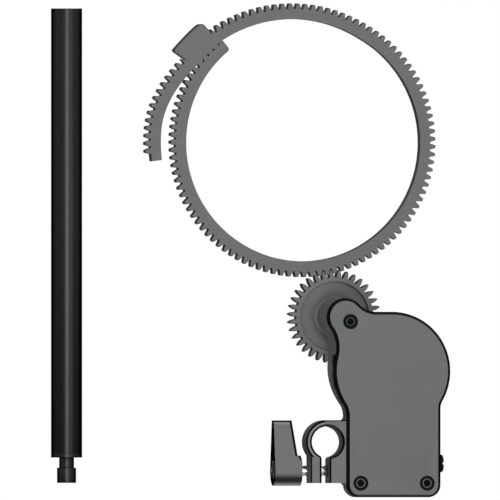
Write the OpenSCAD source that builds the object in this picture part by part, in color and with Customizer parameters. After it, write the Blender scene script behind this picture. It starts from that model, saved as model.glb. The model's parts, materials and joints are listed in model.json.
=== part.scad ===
// Follow focus unit: a gear case with a split rod clamp, a handwheel, a drive gear, a toothed
// belt for a lens and a loose support rod.
// The origin is the middle of the rod clamp's bore. +Y runs along the bore, away from the
// front cover, +X to the case's right side and +Z up.

/* [Support rod] */
// Diameter of the rod and of the clamp's bore
rod_d = 15; // [14:0.5:16]
// Length of the rod's tube
rod_len = 214.4; // [120:0.2:260]
// Wall of the rod's tube
rod_wall = 1.8; // [1.5:0.1:2]
// Sideways distance from the clamp's bore to the loose rod
rod_away = 126.8; // [110:0.2:150]
// Height of the loose rod's top end
rod_top = 208.8; // [150:0.2:240]
// Thickness of the lower plug's visible flange
plug_flange = 1.9; // [1.5:0.1:3]
// Step from the spigot's tip in to its neck
neck_step = 1; // [0.6:0.1:1.4]
// Length of the spigot's neck
neck_len = 4.9; // [3:0.1:7]
// Wall of the upper plug round its socket
socket_wall = 1.02; // [0.9:0.02:1.2]
// Length of the spigot's tip
tip_len = 7.3; // [5:0.1:10]

/* [Rod clamp] */
// Wall of the clamp's ring
clamp_wall = 3; // [2.6:0.1:3.2]
// Length of the clamp's bore
clamp_depth = 11.2; // [10.8:0.1:12]
// Width of the clamp's slot
slot_w = 3.8; // [3.4:0.1:4.2]
// Thickness of the thin jaw
jaw_w = 5.4; // [5:0.1:5.6]
// Drop from the bore's axis to the jaws' lower face
jaw_drop = 19.8; // [19.2:0.1:20.4]
// Diameter of the clamp's stud
stud_d = 5; // [4.4:0.2:5.2]
// Drop from the bore's axis to the stud's axis
stud_drop = 13.8; // [13.2:0.1:14.4]

/* [Gear case] */
// Radius of the case's large round part
case_r = 28.6; // [28.2:0.1:29.4]
// Sideways distance from the bore's axis to the middle of the round part
round_x = 31.4; // [31:0.1:32]
// Height of the middle of the round part above the bore's axis
round_z = 34.1; // [33.5:0.1:35]
// Sideways distance from the bore's axis to the drive gear's axis
drive_x = 10.9; // [10.7:0.1:11.1]
// Height of the drive gear's axis above the bore's axis
drive_z = 60.4; // [60:0.1:60.8]
// Radius of the round lobe over the drive gear's axis
lobe_r = 9.05; // [8.8:0.05:9.4]
// Sideways distance from the bore's axis to the case's left wall
case_left = 9.2; // [8.8:0.1:9.6]
// Width of the case's straight lower part
case_w = 46; // [44:0.2:47]
// Drop from the bore's axis to the case's lower face
case_drop = 26.6; // [26:0.1:29]
// Radius of the two lower corners
corner_r = 6; // [5:0.1:6.4]
// Thickness of the case's walls
case_wall = 1.8; // [1.5:0.1:2]
// Thickness of the case's back
back_t = 2.2; // [2:0.1:2.4]
// Depth of the round part, from the cover to the back
case_deep = 16.8; // [16.6:0.1:18]
// Depth of the straight lower part, from the cover to the back
low_deep = 8.8; // [8.6:0.1:10]
// Thickness of the front cover
cover_t = 2.3; // [2.1:0.1:2.8]
// Width of the bevel round the cover
cover_bevel = 1.4; // [0.8:0.1:1.5]
// Diameter of the counterbores for the cover's screws
counterbore_d = 7.2; // [6.6:0.1:7.6]

/* [Inner gears] */
// Module of the two inner gears
train_module = 0.6; // [0.59:0.01:0.61]
// Teeth of the gear on the handwheel's shaft
wheel_teeth = 72; // [70:1:73]
// Teeth of the pinion on the drive hub
pinion_teeth = 18; // [17:1:18]
// Face width of the inner gears
train_face = 4; // [3:0.1:4.2]

/* [Drive gear] */
// Module of the drive gear and of the belt
drive_module = 1.2; // [1.1:0.02:1.22]
// Teeth of the drive gear
drive_teeth = 35; // [33:1:36]
// Face width of the drive gear
drive_face = 6.4; // [5.6:0.1:8]
// Distance from the case's back to the drive gear
drive_reach = 22.2; // [21.6:0.1:26]
// Radius of the drive hub
drive_hub_r = 8.3; // [8:0.1:8.6]
// Diameter of the fixed drive axle
axle_d = 4.4; // [4.2:0.1:4.6]

/* [Gear belt] */
// Teeth round the belt's full circle
belt_teeth = 107; // [95:1:110]
// Thickness of the belt under its teeth
belt_band = 5.1; // [4:0.1:6]
// Direction from the drive axis to the belt's centre
belt_angle = 100.5; // [96:0.1:104]
// Direction of the belt's inner end, from the belt's centre
belt_start = 128.7; // [124:0.1:132]
// Angle that the free tail runs past the belt's inner end
tail_run = 58.3; // [50:0.1:62]
// Lift of the lap over the belt's inner end
lap_lift = 5.8; // [5.7:0.1:6.6]
// Further lift of the free tail
tail_lift = 6.6; // [4:0.1:9]
// Height of the keeper above the tooth roots
keeper_h = 8.2; // [7.5:0.1:10]

/* [Handwheel] */
// Outer radius of the handwheel's grip
handwheel_r = 18.2; // [17:0.1:18.2]
// Width of the handwheel
handwheel_w = 18; // [17:0.2:18.4]
// Thickness of the rubber grip
grip_t = 2; // [1.6:0.1:2.6]
// Number of flutes round the grip
grip_flutes = 40; // [24:1:60]

/* [Clamp lever] */
// Height of the lever's end above the stud's axis
lever_len = 24.2; // [20:0.2:34]
// Radius of the lever's hub
lever_hub_r = 7.3; // [7.2:0.1:8]
// Length of the lever's hub
lever_hub_w = 13.3; // [13:0.1:14]
// Width of the lever's end
lever_end_w = 8.7; // [7:0.1:10]
// Thickness of the lever's end
lever_end_t = 5.2; // [4:0.1:7]
// Bare length of stud between the thin jaw and the lever's hub
lever_gap = 4.2; // [3.6:0.1:5]

/* [Drag knob] */
// Diameter of the drag knob
knob_d = 8.6; // [7:0.1:9]
// Thickness of the drag knob
knob_t = 1.8; // [1.4:0.1:3]
// Drop from the bore's axis to the knob's axis
knob_drop = 10.3; // [9:0.1:12]

/* [Hidden] */

// Running and seating clearances, the gap between pieces that move past each other, the
// overrun of cuts, the overlap of a small fillet with a round wall, and the step of drawn arcs
run = 0.03;
fit = 0.02;
gap = 0.3;
cut = 1;
nick = 0.12;
arc_step = 6;
pressure = 20;
$fn = 72;

// Colours
grey = [0.43, 0.43, 0.44];
dark = [0.16, 0.16, 0.17];
black = [0.07, 0.07, 0.07];
steel = [0.72, 0.73, 0.75];
bronze = [0.70, 0.55, 0.32];

// Extrusions, round bars and turned profiles along Y, and round bars along X
module slab(y0, y1) {
    translate([0, y1, 0]) rotate([90, 0, 0]) linear_extrude(y1 - y0) children();
}
module bar_y(c, y0, y1, r) {
    translate([c.x, y1, c.y]) rotate([90, 0, 0]) cylinder(r = r, h = y1 - y0);
}
module cone_y(c, y0, y1, r0, r1) {
    translate([c.x, y1, c.y]) rotate([90, 0, 0]) cylinder(r1 = r1, r2 = r0, h = y1 - y0);
}
module ring_y(c, y0, y1, ro, ri) {
    difference() {
        bar_y(c, y0, y1, ro);
        bar_y(c, y0 - cut, y1 + cut, ri);
    }
}
module turned(c, profile) {
    translate([c.x, 0, c.y]) rotate([-90, 0, 0]) rotate_extrude() polygon(profile);
}
module bar_x(x0, x1, z, r, y = 0) {
    translate([x0, y, z]) rotate([0, 90, 0]) cylinder(r = r, h = x1 - x0);
}
module cone_x(x0, x1, z, r0, r1, y = 0) {
    translate([x0, y, z]) rotate([0, 90, 0]) cylinder(r1 = r0, r2 = r1, h = x1 - x0);
}
module side_slab(x0, x1) {
    translate([x0, 0, 0]) rotate([90, 0, 90]) linear_extrude(x1 - x0) children();
}

// A closed solid through rings of points, each ring [y, [[x, z], ...]], clockwise from the front
module skin(rings) {
    n = len(rings[0][1]);
    m = len(rings);
    points = [for (ring = rings, p = ring[1]) [p.x, ring[0], p.y]];
    sides = [for (j = [0:m - 2], i = [0:n - 1])
        [j * n + i, (j + 1) * n + i, (j + 1) * n + (i + 1) % n, j * n + (i + 1) % n]];
    front = [for (i = [0:n - 1]) i];
    back = [for (i = [n - 1:-1:0]) (m - 1) * n + i];
    polyhedron(points, concat([front, back], sides));
}

// Points along an arc, with its last point or without it, and small helpers
function arc(c, r, a0, a1) =
    let (n = max(1, ceil(abs(a1 - a0) / arc_step)))
    [for (i = [0:n]) let (a = a0 + (a1 - a0) * i / n) c + r * [cos(a), sin(a)]];
function but_last(list) = [for (i = [0:len(list) - 2]) list[i]];
function open_arc(c, r, a0, a1) = but_last(arc(c, r, a0, a1));
function angle_to(a, b) = atan2(b.y - a.y, b.x - a.x);
function sq(v) = v * v;
// Third side of a right triangle, or nothing where a wall stands out past the round part
function level_leg(long, leg) = sqrt(max(0, sq(long) - sq(leg)));
function clamped(v) = min(1, max(0, v));
function smooth(v) = sq(clamped(v)) * (3 - 2 * clamped(v));

// Planes along Y, from the cover's face to the drive gear's far side
gear_gap = 1.5;
part_y = -clamp_depth / 2;
face_y = part_y - cover_t;
clamp_y = clamp_depth / 2;
low_y = part_y + low_deep;
low_floor_y = low_y - back_t;
back_y = part_y + case_deep;
cavity_y = clamp_y - back_t;
train_y1 = cavity_y - gear_gap;
train_y0 = train_y1 - train_face;
drive_y0 = back_y + drive_reach;
drive_y1 = drive_y0 + drive_face;

// Axes, as [X, Z]
train_backlash = 0.06;
belt_backlash = 0.1;
round_c = [round_x, round_z];
drive_c = [drive_x, drive_z];
train_dist = train_module * (wheel_teeth + pinion_teeth) / 2 + train_backlash;
wheel_c = drive_c + train_dist * (round_c - drive_c) / norm(round_c - drive_c);
train_angle = angle_to(wheel_c, drive_c);
belt_dist = drive_module * (belt_teeth + drive_teeth) / 2 + belt_backlash;
belt_c = drive_c + belt_dist * [cos(belt_angle), sin(belt_angle)];
rod_c = [-rod_away, 0];

// Involute teeth. The half angle of a tooth at radius r follows from its pitch and its
// involute, and a flank runs from root to tip through radii at even shares of its height
flank_shares = [0, 0.2, 0.45, 0.75, 1];
function involute(r, base) = let (a = acos(min(1, base / r))) tan(a) * 180 / PI - a;
function half_angle(r, pitch_r, teeth, thin) =
    let (base = pitch_r * cos(pressure))
    90 / teeth - thin / pitch_r * 90 / PI + involute(pitch_r, base) - involute(max(r, base), base);
function tooth(pitch_r, teeth, root, tip, thin) =
    let (radii = [for (s = flank_shares) root + s * (tip - root)],
        rise = [for (r = radii) [-half_angle(r, pitch_r, teeth, thin), r]],
        n = len(rise))
    concat(rise, [for (i = [n - 1:-1:0]) [-rise[i][0], rise[i][1]]]);
module gear_shape(pitch_r, teeth, root, tip, thin, first) {
    shape = tooth(pitch_r, teeth, root, tip, thin);
    polygon([for (k = [0:teeth - 1], p = shape)
        let (a = first + 360 * k / teeth + p[0]) p[1] * [cos(a), sin(a)]]);
}

// Inner gears
train_thin = 0.06;
train_ded_share = 1.25;
train_add = train_module;
train_ded = train_ded_share * train_module;
wheel_pitch_r = train_module * wheel_teeth / 2;
pinion_pitch_r = train_module * pinion_teeth / 2;
pinion_tip_r = pinion_pitch_r + train_add;

// Drive gear and belt teeth. The teeth are tall, and a drive tooth stands drive_phase past
// the line of centres at rest
drive_add_share = 1.25;
drive_ded_share = 1.75;
belt_add_share = 0.6;
belt_ded_share = 1.55;
drive_add = drive_add_share * drive_module;
drive_ded = drive_ded_share * drive_module;
belt_add = belt_add_share * drive_module;
belt_ded = belt_ded_share * drive_module;
drive_thin = 0.08;
drive_phase = 4.2;
drive_pitch_r = drive_module * drive_teeth / 2;
belt_pitch_r = drive_module * belt_teeth / 2;
belt_root_r = belt_pitch_r - belt_ded;
belt_in_r = belt_root_r - belt_band;
drive_root_r = drive_pitch_r - drive_ded;

// Case outline: a large round part, a lobe over the drive axis and a straight lower part,
// joined by hollow fillets whose centres follow from the circles that they touch
lobe_shift = 2.3;
lobe_angle = 185;
lobe_fillet = 17;
top_fillet = 11.5;
right_fillet = 7.6;
left_fillet = 11.7;
case_right = case_left + case_w;
case_top = round_c.y + case_r;
case_bottom = -case_drop;
lobe_c = drive_c + lobe_shift * [cos(lobe_angle), sin(lobe_angle)];
function touch_both(a, ra, b, rb) =
    let (d = norm(b - a), u = (b - a) / d, along = (d * d + ra * ra - rb * rb) / (2 * d),
        across = sqrt(ra * ra - along * along))
    a + u * along - across * [-u.y, u.x];
lobe_fc = touch_both(lobe_c, lobe_r + lobe_fillet, round_c, case_r + lobe_fillet);
top_fc = [lobe_c.x + sqrt(sq(lobe_r + top_fillet) - sq(case_top + top_fillet - lobe_c.y)),
    case_top + top_fillet];
right_fc = [case_right + right_fillet,
    round_c.y - level_leg(case_r + right_fillet, case_right + right_fillet - round_c.x)];
left_fc = [case_left - left_fillet,
    round_c.y - level_leg(case_r + left_fillet, round_c.x - case_left + left_fillet)];
right_a = angle_to(round_c, right_fc);
left_a = angle_to(round_c, left_fc);
lobe_a = angle_to(round_c, lobe_fc);

// Stretches of the outline, each drawn inwards of the wall by the inset d
function right_side(d) = concat(
    arc(right_fc, right_fillet + d, angle_to(right_fc, round_c), 180),
    arc([case_right - corner_r, case_bottom + corner_r], corner_r - d, 0, -90));
function left_side(d) = concat(
    arc([case_left + corner_r, case_bottom + corner_r], corner_r - d, -90, -180),
    arc(left_fc, left_fillet + d, 0, angle_to(left_fc, round_c)));
function lobe_side(d) = concat(
    open_arc(lobe_fc, lobe_fillet + d, angle_to(lobe_fc, round_c), angle_to(lobe_fc, lobe_c)),
    open_arc(lobe_c, lobe_r - d, 360 + angle_to(lobe_c, lobe_fc), angle_to(lobe_c, top_fc)),
    arc(top_fc, top_fillet + d, 360 + angle_to(top_fc, lobe_c), 270));
function case_outline(d) = concat(
    open_arc(round_c, case_r - d, 90, right_a), right_side(d), but_last(left_side(d)),
    open_arc(round_c, case_r - d, 360 + left_a, lobe_a), lobe_side(d));
function round_outline(d) = concat(
    open_arc(round_c, case_r - d, 90, right_a), open_arc(round_c, case_r - d, right_a, left_a),
    open_arc(round_c, case_r - d, left_a, lobe_a - 360), lobe_side(d));

// Round part behind the clamp: its outline leans with depth, by a share of the height over
// lean_z and no further than lean_cap, and it ends in a small bevel and a round pocket
back_edge = 0.7;
back_lean_share = 0.068;
lean_z = 36.5;
lean_cap = 9;
deep_r = 23;
function leaning(points) =
    [for (p = points) p - [back_lean_share * min(p.y - lean_z, lean_cap), 0]];

// Cover screws and the axle screw
cover_screw_inset = 6.75;
counterbore_depth = 1.9;
seat_t = 1.2;
screw_r = 1.5;
screw_head_r = 2.75;
screw_head_h = 1.7;
socket_r = 1.45;
socket_depth = 1.1;
cover_screw_grip = 6;
axle_screw_grip = 2.9;
axle_screw_drop = 2.4;
post_r = 4;
cover_screw_at = [for (x = [case_left + cover_screw_inset, case_right - cover_screw_inset])
    [x, case_bottom + cover_screw_inset]];
axle_screw_at = drive_c - [0, axle_screw_drop];
screw_seat_y = face_y + counterbore_depth;

// Rod clamp
clamp_r = rod_d / 2 + clamp_wall;
slot_shift = 0.95;
slot_x0 = -slot_shift - slot_w / 2;
slot_x1 = -slot_shift + slot_w / 2;
jaw_x0 = slot_x0 - jaw_w;
jaw_fillet = 3;
mouth_round = 1.8;
blend_r = 1;
bore_chamfer = 0.9;

// Clamp stud, its insert and the lever, along X at the stud's height
stud_r = stud_d / 2;
stud_z = -stud_drop;
stud_hole_r = stud_r + gap;
insert_wall = 1.1;
insert_r = stud_r + run + insert_wall;
insert_len = 7.4;
insert_end_gap = 0.3;
stud_reach = 4.8;
hub_x1 = jaw_x0 - lever_gap;
hub_x0 = hub_x1 - lever_hub_w;
washer_t = 0.8;
washer_r = 4.4;
washer_gap = 0.1;
spline_wall = 0.9;
spline_r = stud_r + spline_wall;
spline_depth = 0.35;
spline_teeth = 12;
spline_len = 1.8;
stud_head_len = 5.2;
shoulder_t = 1;
chamber_r = 4.6;
flare_low_share = 0.49;
flare_high_share = 1.01;
flare_x_share = 0.17;
lever_screw_r = 1.6;
lever_head_r = 4;
lever_head_h = 1.6;
lever_head_sink = 0.3;
lever_screw_grip = 3.6;
spring_wire_r = 0.3;
spring_coil_r = 3.1;
spring_turns = 3;
spring_sides = 6;
spring_rings = 14;
head_x1 = hub_x1 - washer_t - 2 * washer_gap;
head_x0 = head_x1 - stud_head_len;
shoulder_x1 = head_x0 - washer_gap;
shoulder_x0 = shoulder_x1 - shoulder_t;
lever_head_x0 = hub_x0 + lever_head_sink;
lever_head_x1 = lever_head_x0 + lever_head_h;

// Bushes, shafts and bosses
bush_wall = 1;
bush_flange_t = 0.9;
bush_flange_out = 0.65;
hub_journal_r = 4.5;
drive_bush_r = hub_journal_r + run + bush_wall;
drive_boss_r = drive_bush_r + 2 * bush_flange_out;
gear_relief = 0.4;
wheel_shaft_r = 4;
wheel_bush_wall = 2;
wheel_bush_r = wheel_shaft_r + run + wheel_bush_wall;
wheel_boss_wall = 3;
wheel_boss_r = wheel_bush_r + wheel_boss_wall;
wheel_boss_len = 6.4;
wheel_boss_y = back_y - wheel_boss_len;
front_journal_r = 2.5;
front_bush_r = front_journal_r + run + wheel_bush_wall;
front_bush_len = 3;
front_bush_sink = 0.8;
front_boss_r = front_bush_r + wheel_bush_wall;
front_bush_y0 = part_y - front_bush_sink;
front_bush_y1 = front_bush_y0 + front_bush_len;
axle_r = axle_d / 2;
axle_boss_r = 5.2;
axle_boss_t = 1.2;
axle_flange_r = 5;
axle_flange_t = 2;
axle_y0 = part_y + axle_boss_t;

// Drive hub, drive gear and what holds them
web_recess = 2.6;
web_back_recess = 0.8;
web_rim = 2;
web_r = drive_root_r - web_rim;
web_y0 = drive_y0 + web_recess;
web_y1 = drive_y1 - web_back_recess;
hub_collar_out = 1.6;
hub_collar_r = drive_hub_r + hub_collar_out;
hub_collar_t = 1;
hub_bush_wall = 0.9;
hub_bush_r = axle_r + run + hub_bush_wall;
hub_bush_len = 6;
hub_nose_wall = 0.7;
hub_nose_r = hub_bush_r + hub_nose_wall;
hub_spigot_wall = 1.2;
hub_spigot_r = hub_bush_r + hub_spigot_wall;
hub_y0 = axle_y0 + axle_flange_t + gap;
gear_screw_r = 1;
gear_screw_head_r = 1.9;
gear_screw_head_h = 1.2;
gear_screw_grip = 6;
gear_screw_count = 3;
gear_screw_away = 0.1;
gear_screw_at = hub_spigot_r + gear_screw_head_r + gear_screw_away;
axle_thread_r = 1.7;
axle_washer_t = 0.8;
axle_washer_r = 4;
axle_nut_r = 3.6;
axle_nut_t = 2.2;
axle_end = 0.4;
washer_y0 = web_y1 + gap;
nut_y0 = washer_y0 + axle_washer_t;

// Handwheel
hand_y0 = back_y + bush_flange_t + gap;
hand_y1 = hand_y0 + handwheel_w;
hand_rim_r = handwheel_r - grip_t;
hand_shoulder = 0.7;
hand_shoulder_w = 1.2;
hand_rim_t = 2.5;
hand_hub_wall = 5;
hand_hub_r = wheel_shaft_r + hand_hub_wall;
hand_web_t = 6;
hand_edge = 0.8;
wheel_cap_r = 6;
wheel_cap_t = 1.2;
wheel_screw_r = 2;
wheel_head_r = 3.5;
wheel_head_h = 1.8;
wheel_head_gap = 0.2;
wheel_web_t = 2.6;
wheel_screw_grip = 9;
cap_y0 = hand_y1 - wheel_cap_t;
wheel_seat_y = cap_y0 - wheel_head_gap - wheel_head_h;
shaft_y1 = wheel_seat_y - wheel_web_t;
flute_depth = 0.7;
flute_points = 6;
clip_r = 6.2;
clip_t = 0.7;
clip_groove = 0.6;
clip_mouth = 5;
shaft_collar_r = 6.5;
shaft_collar_t = 1.2;

// Friction adjuster in the lower right of the case
drum_in = 4.8;
drum_r = wheel_pitch_r - drum_in;
drum_t = 2.2;
drum_wall = 2.5;
drum_y0 = train_y0 - drum_t;
leaf_t = 0.8;
leaf_from_right = 14;
leaf_side_gap = 0.4;
leaf_seat = 1.2;
leaf_foot = 4.6;
leaf_top_gap = 1;
leaf_x = case_right - leaf_from_right;
leaf_y0 = part_y + leaf_seat;
leaf_y1 = low_floor_y - leaf_side_gap;
leaf_z0 = case_bottom + case_wall;
leaf_under = 1.8;
leaf_shoulder = wheel_c.y - wheel_pitch_r - leaf_under;
leaf_top = wheel_c.y - sqrt(sq(drum_r + leaf_top_gap) - sq(leaf_x - wheel_c.x));
rib_wall = 1.5;
pad_w = 3;
pad_h = 6;
web_hole_r = 3.4;
web_hole_count = 6;
plunger_travel = 0.6;
plunger_r = 3;
plunger_len = 5.6;
plunger_key = 1.2;
knob_r = knob_d / 2;
knob_z = -knob_drop;
knob_y = -1.9;
knob_edge = 0.5;
knob_slot = 0.6;
knob_shank_r = 2;
knob_screw_r = 1.5;
knob_thread = 4.5;
drag_boss_wall = 1.7;
drag_boss_start = 2.2;
plunger_x0 = leaf_x + leaf_t + gap + plunger_travel;
plunger_x1 = plunger_x0 + plunger_len;
drag_boss_r = plunger_r + drag_boss_wall;
drag_boss_x0 = plunger_x0 + drag_boss_start;
plunger_end_gap = 0.4;

// Gear case with its rod clamp
module blend(x, z, dx, dz) {
    difference() {
        translate([min(x, x + dx * blend_r), min(z, z + dz * blend_r)]) square(blend_r);
        translate([x + dx * blend_r, z + dz * blend_r]) circle(r = blend_r);
    }
}
module clamp_shape() {
    jaw_fc = [jaw_x0 - jaw_fillet,
        -sqrt(sq(clamp_r + jaw_fillet - nick) - sq(jaw_x0 - jaw_fillet))];
    jaw_ft = jaw_fc * clamp_r / (clamp_r + jaw_fillet);
    inner_x = case_left + case_wall / 2;
    circle(r = clamp_r);
    translate([0, -clamp_r]) square([inner_x, 2 * clamp_r]);
    translate([jaw_x0, -jaw_drop]) square([jaw_w, jaw_drop - clamp_r / 2]);
    translate([slot_x1, -jaw_drop]) square([inner_x - slot_x1, jaw_drop]);
    difference() {
        translate([jaw_ft.x, jaw_fc.y]) square([jaw_x0 - jaw_ft.x + blend_r, jaw_ft.y - jaw_fc.y]);
        translate(jaw_fc) circle(r = jaw_fillet);
    }
    blend(case_left, clamp_r, -1, 1);
    blend(case_left, -jaw_drop, -1, -1);
}
module mouth_corner(x, side) {
    c = [x + side * mouth_round,
        -sqrt(sq(rod_d / 2 + mouth_round - nick) - sq(x + side * mouth_round))];
    t = c * rod_d / (rod_d + 2 * mouth_round);
    difference() {
        translate([min(x, t.x), c.y]) square([abs(t.x - x), t.y - c.y]);
        translate(c) circle(r = mouth_round);
    }
}
module clamp_cuts() {
    bar_y([0, 0], part_y - cut, clamp_y + cut, rod_d / 2);
    cone_y([0, 0], part_y - bore_chamfer, part_y + bore_chamfer,
        rod_d / 2 + 2 * bore_chamfer, rod_d / 2);
    cone_y([0, 0], clamp_y - bore_chamfer, clamp_y + bore_chamfer,
        rod_d / 2, rod_d / 2 + 2 * bore_chamfer);
    slab(part_y - cut, clamp_y + cut) {
        translate([slot_x0, -jaw_drop - cut]) square([slot_w, jaw_drop + cut]);
        mouth_corner(slot_x0, -1);
        mouth_corner(slot_x1, 1);
    }
    bar_x(jaw_x0 - cut, slot_x1, stud_z, stud_hole_r);
    bar_x(slot_x0 + slot_w / 2, slot_x1 + insert_len + insert_end_gap, stud_z, insert_r + fit);
}
module case_cavity() {
    slab(part_y - cut, low_floor_y) polygon(case_outline(case_wall));
    slab(part_y - cut, cavity_y) polygon(round_outline(case_wall));
    bar_y(drive_c, part_y - cut, cavity_y, pinion_tip_r + gear_relief);
    bar_y(wheel_c, part_y - cut, cavity_y, wheel_pitch_r + train_add + gear_relief);
    difference() {
        bar_y(round_c, cavity_y - cut, back_y - back_t, deep_r);
        bar_y(drive_c, cavity_y, back_y, drive_boss_r);
        bar_y(wheel_c, wheel_boss_y, back_y, wheel_boss_r);
    }
}
module case_fittings() {
    for (c = cover_screw_at) bar_y(c, part_y + seat_t, low_floor_y + cut, post_r);
    intersection() {
        bar_x(drag_boss_x0, case_right - case_wall / 2, knob_z, drag_boss_r, knob_y);
        slab(part_y, low_y) polygon(case_outline(case_wall / 2));
    }
    translate([leaf_x - rib_wall, leaf_y0, leaf_z0 - case_wall / 2])
        cube([leaf_t + 2 * rib_wall, low_floor_y - leaf_y0 + cut, leaf_foot + case_wall / 2]);
}
module drag_cuts() {
    bar_x(leaf_x + leaf_t, plunger_x1 + plunger_end_gap, knob_z, plunger_r + run, knob_y);
    bar_x(plunger_x1, case_right + cut, knob_z, knob_shank_r + run, knob_y);
    translate([drag_boss_x0 - cut, knob_y - plunger_key / 2 - run, knob_z])
        cube([plunger_x1 + plunger_end_gap - drag_boss_x0 + cut, plunger_key + 2 * run,
            plunger_r + plunger_key / 2 + run]);
}
module gear_case() {
    color(dark) difference() {
        union() {
            skin([[part_y, round_outline(0)], [back_y - back_edge, leaning(round_outline(0))],
                [back_y, leaning(round_outline(back_edge))]]);
            slab(part_y, low_y) polygon(concat(right_side(0), left_side(0), [round_c]));
            slab(part_y, clamp_y) clamp_shape();
        }
        difference() {
            case_cavity();
            case_fittings();
        }
        clamp_cuts();
        drag_cuts();
        for (c = cover_screw_at)
            bar_y(c, part_y - cut, screw_seat_y + cover_screw_grip + cut, screw_r + run);
        for (c = cover_screw_at) bar_y(c, part_y - cut, part_y + seat_t, post_r + fit);
        bar_y(drive_c, cavity_y - cut, back_y + cut, drive_bush_r + fit);
        bar_y(wheel_c, wheel_boss_y - cut, back_y + cut, wheel_bush_r + fit);
        translate([leaf_x - fit, leaf_y0 - cut, leaf_z0])
            cube([leaf_t + 2 * fit, leaf_y1 - leaf_y0 + 2 * cut, leaf_foot + cut]);
    }
}

// Front cover with its bevel, counterbores and inner bosses
module front_cover() {
    color(grey) difference() {
        union() {
            skin([[face_y, case_outline(cover_bevel)], [face_y + cover_bevel, case_outline(0)],
                [part_y, case_outline(0)]]);
            for (c = cover_screw_at) bar_y(c, part_y - cover_t / 2, part_y + seat_t, post_r);
            bar_y(drive_c, part_y - cover_t / 2, axle_y0, axle_boss_r);
            bar_y(wheel_c, part_y - cover_t / 4, front_bush_y1, front_boss_r);
        }
        for (c = concat(cover_screw_at, [axle_screw_at])) {
            bar_y(c, face_y - cut, screw_seat_y, counterbore_d / 2);
            bar_y(c, face_y, axle_y0 + cut, screw_r + run);
        }
        bar_y(wheel_c, front_bush_y0, front_bush_y1 + cut, front_bush_r + fit);
    }
}

// Socket screws, with the head's seat at y and the shank running away from the viewer
module socket_screw(c, y, head_r, head_h, shank_r, len) {
    difference() {
        union() {
            bar_y(c, y - head_h, y, head_r);
            bar_y(c, y - head_h / 2, y + len, shank_r);
        }
        bar_hex(c, y - head_h - cut, y - head_h + socket_depth, socket_r);
    }
}
module bar_hex(c, y0, y1, r) {
    translate([c.x, y1, c.y]) rotate([90, 0, 0]) cylinder(r = r, h = y1 - y0, $fn = 6);
}
module cover_screws() {
    color(dark) for (c = cover_screw_at)
        socket_screw(c, screw_seat_y, screw_head_r, screw_head_h, screw_r, cover_screw_grip);
}
module axle_screw() {
    color(dark) socket_screw(axle_screw_at, screw_seat_y, screw_head_r, screw_head_h, screw_r,
        axle_screw_grip);
}

// Fixed drive axle with its washer and nut
module drive_axle() {
    color(steel) difference() {
        union() {
            bar_y(drive_c, axle_y0, axle_y0 + axle_flange_t, axle_flange_r);
            bar_y(drive_c, axle_y0, washer_y0 - fit, axle_r);
            bar_y(drive_c, axle_y0, nut_y0 + axle_nut_t + axle_end, axle_thread_r);
        }
        bar_y(axle_screw_at, axle_y0 - cut, screw_seat_y + axle_screw_grip + gap,
            screw_r + run);
    }
}
module axle_washer() {
    color(steel) ring_y(drive_c, washer_y0, nut_y0, axle_washer_r, axle_thread_r + run);
}
module axle_nut() {
    color(steel) difference() {
        bar_hex(drive_c, nut_y0, nut_y0 + axle_nut_t, axle_nut_r);
        bar_y(drive_c, nut_y0 - cut, nut_y0 + axle_nut_t + cut, axle_thread_r + run);
    }
}

// Plain bushes in the case and the cover
module drive_bush() {
    color(bronze) difference() {
        union() {
            bar_y(drive_c, cavity_y - bush_flange_t, cavity_y, drive_bush_r + bush_flange_out);
            bar_y(drive_c, cavity_y - bush_flange_t, back_y, drive_bush_r);
        }
        bar_y(drive_c, cavity_y - cut - bush_flange_t, back_y + cut, hub_journal_r + run);
    }
}
module wheel_bush_front() {
    color(bronze) ring_y(wheel_c, front_bush_y0, front_bush_y1, front_bush_r,
        front_journal_r + run);
}
module wheel_bush_rear() {
    color(bronze) difference() {
        union() {
            bar_y(wheel_c, wheel_boss_y, back_y, wheel_bush_r);
            bar_y(wheel_c, back_y, back_y + bush_flange_t, wheel_bush_r + 2 * bush_flange_out);
        }
        bar_y(wheel_c, wheel_boss_y - cut, back_y + bush_flange_t + cut, wheel_shaft_r + run);
    }
}

// Friction adjuster: leaf spring, pad, keyed plunger and knob
module drag_leaf() {
    color(steel) side_slab(leaf_x, leaf_x + leaf_t) polygon([
        [leaf_y0, leaf_z0], [leaf_y1, leaf_z0], [leaf_y1, leaf_shoulder],
        [train_y0 - leaf_side_gap, leaf_shoulder], [train_y0 - leaf_side_gap, leaf_top],
        [leaf_y0, leaf_top]]);
}
module drag_pad() {
    color(black) difference() {
        translate([leaf_x - pad_w, leaf_y0, leaf_top - pad_h])
            cube([pad_w, train_y0 - leaf_side_gap - leaf_y0, pad_h]);
        bar_y(wheel_c, leaf_y0 - cut, train_y0, drum_r + gap);
    }
}
module drag_plunger() {
    color(dark) difference() {
        union() {
            bar_x(plunger_x0, plunger_x1, knob_z, plunger_r, knob_y);
            translate([drag_boss_x0 + plunger_key, knob_y - plunger_key / 2, knob_z])
                cube([plunger_key, plunger_key, plunger_r + plunger_key / 2]);
        }
        bar_x(plunger_x1 - knob_thread - cut, plunger_x1 + cut, knob_z, knob_screw_r + run,
            knob_y);
    }
}
module drag_knob() {
    knob_x1 = case_right + knob_t;
    color(grey) difference() {
        union() {
            bar_x(case_right + run, knob_x1 - knob_edge, knob_z, knob_r, knob_y);
            cone_x(knob_x1 - knob_edge, knob_x1, knob_z, knob_r, knob_r - knob_edge, knob_y);
            bar_x(plunger_x1 + plunger_end_gap + gap, case_right + knob_edge, knob_z, knob_shank_r,
                knob_y);
            bar_x(plunger_x1 - knob_thread, case_right, knob_z, knob_screw_r, knob_y);
        }
        translate([knob_x1 - knob_slot, knob_y - knob_r - cut, knob_z - knob_edge])
            cube([knob_t, 2 * (knob_r + cut), 2 * knob_edge]);
    }
}

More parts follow.
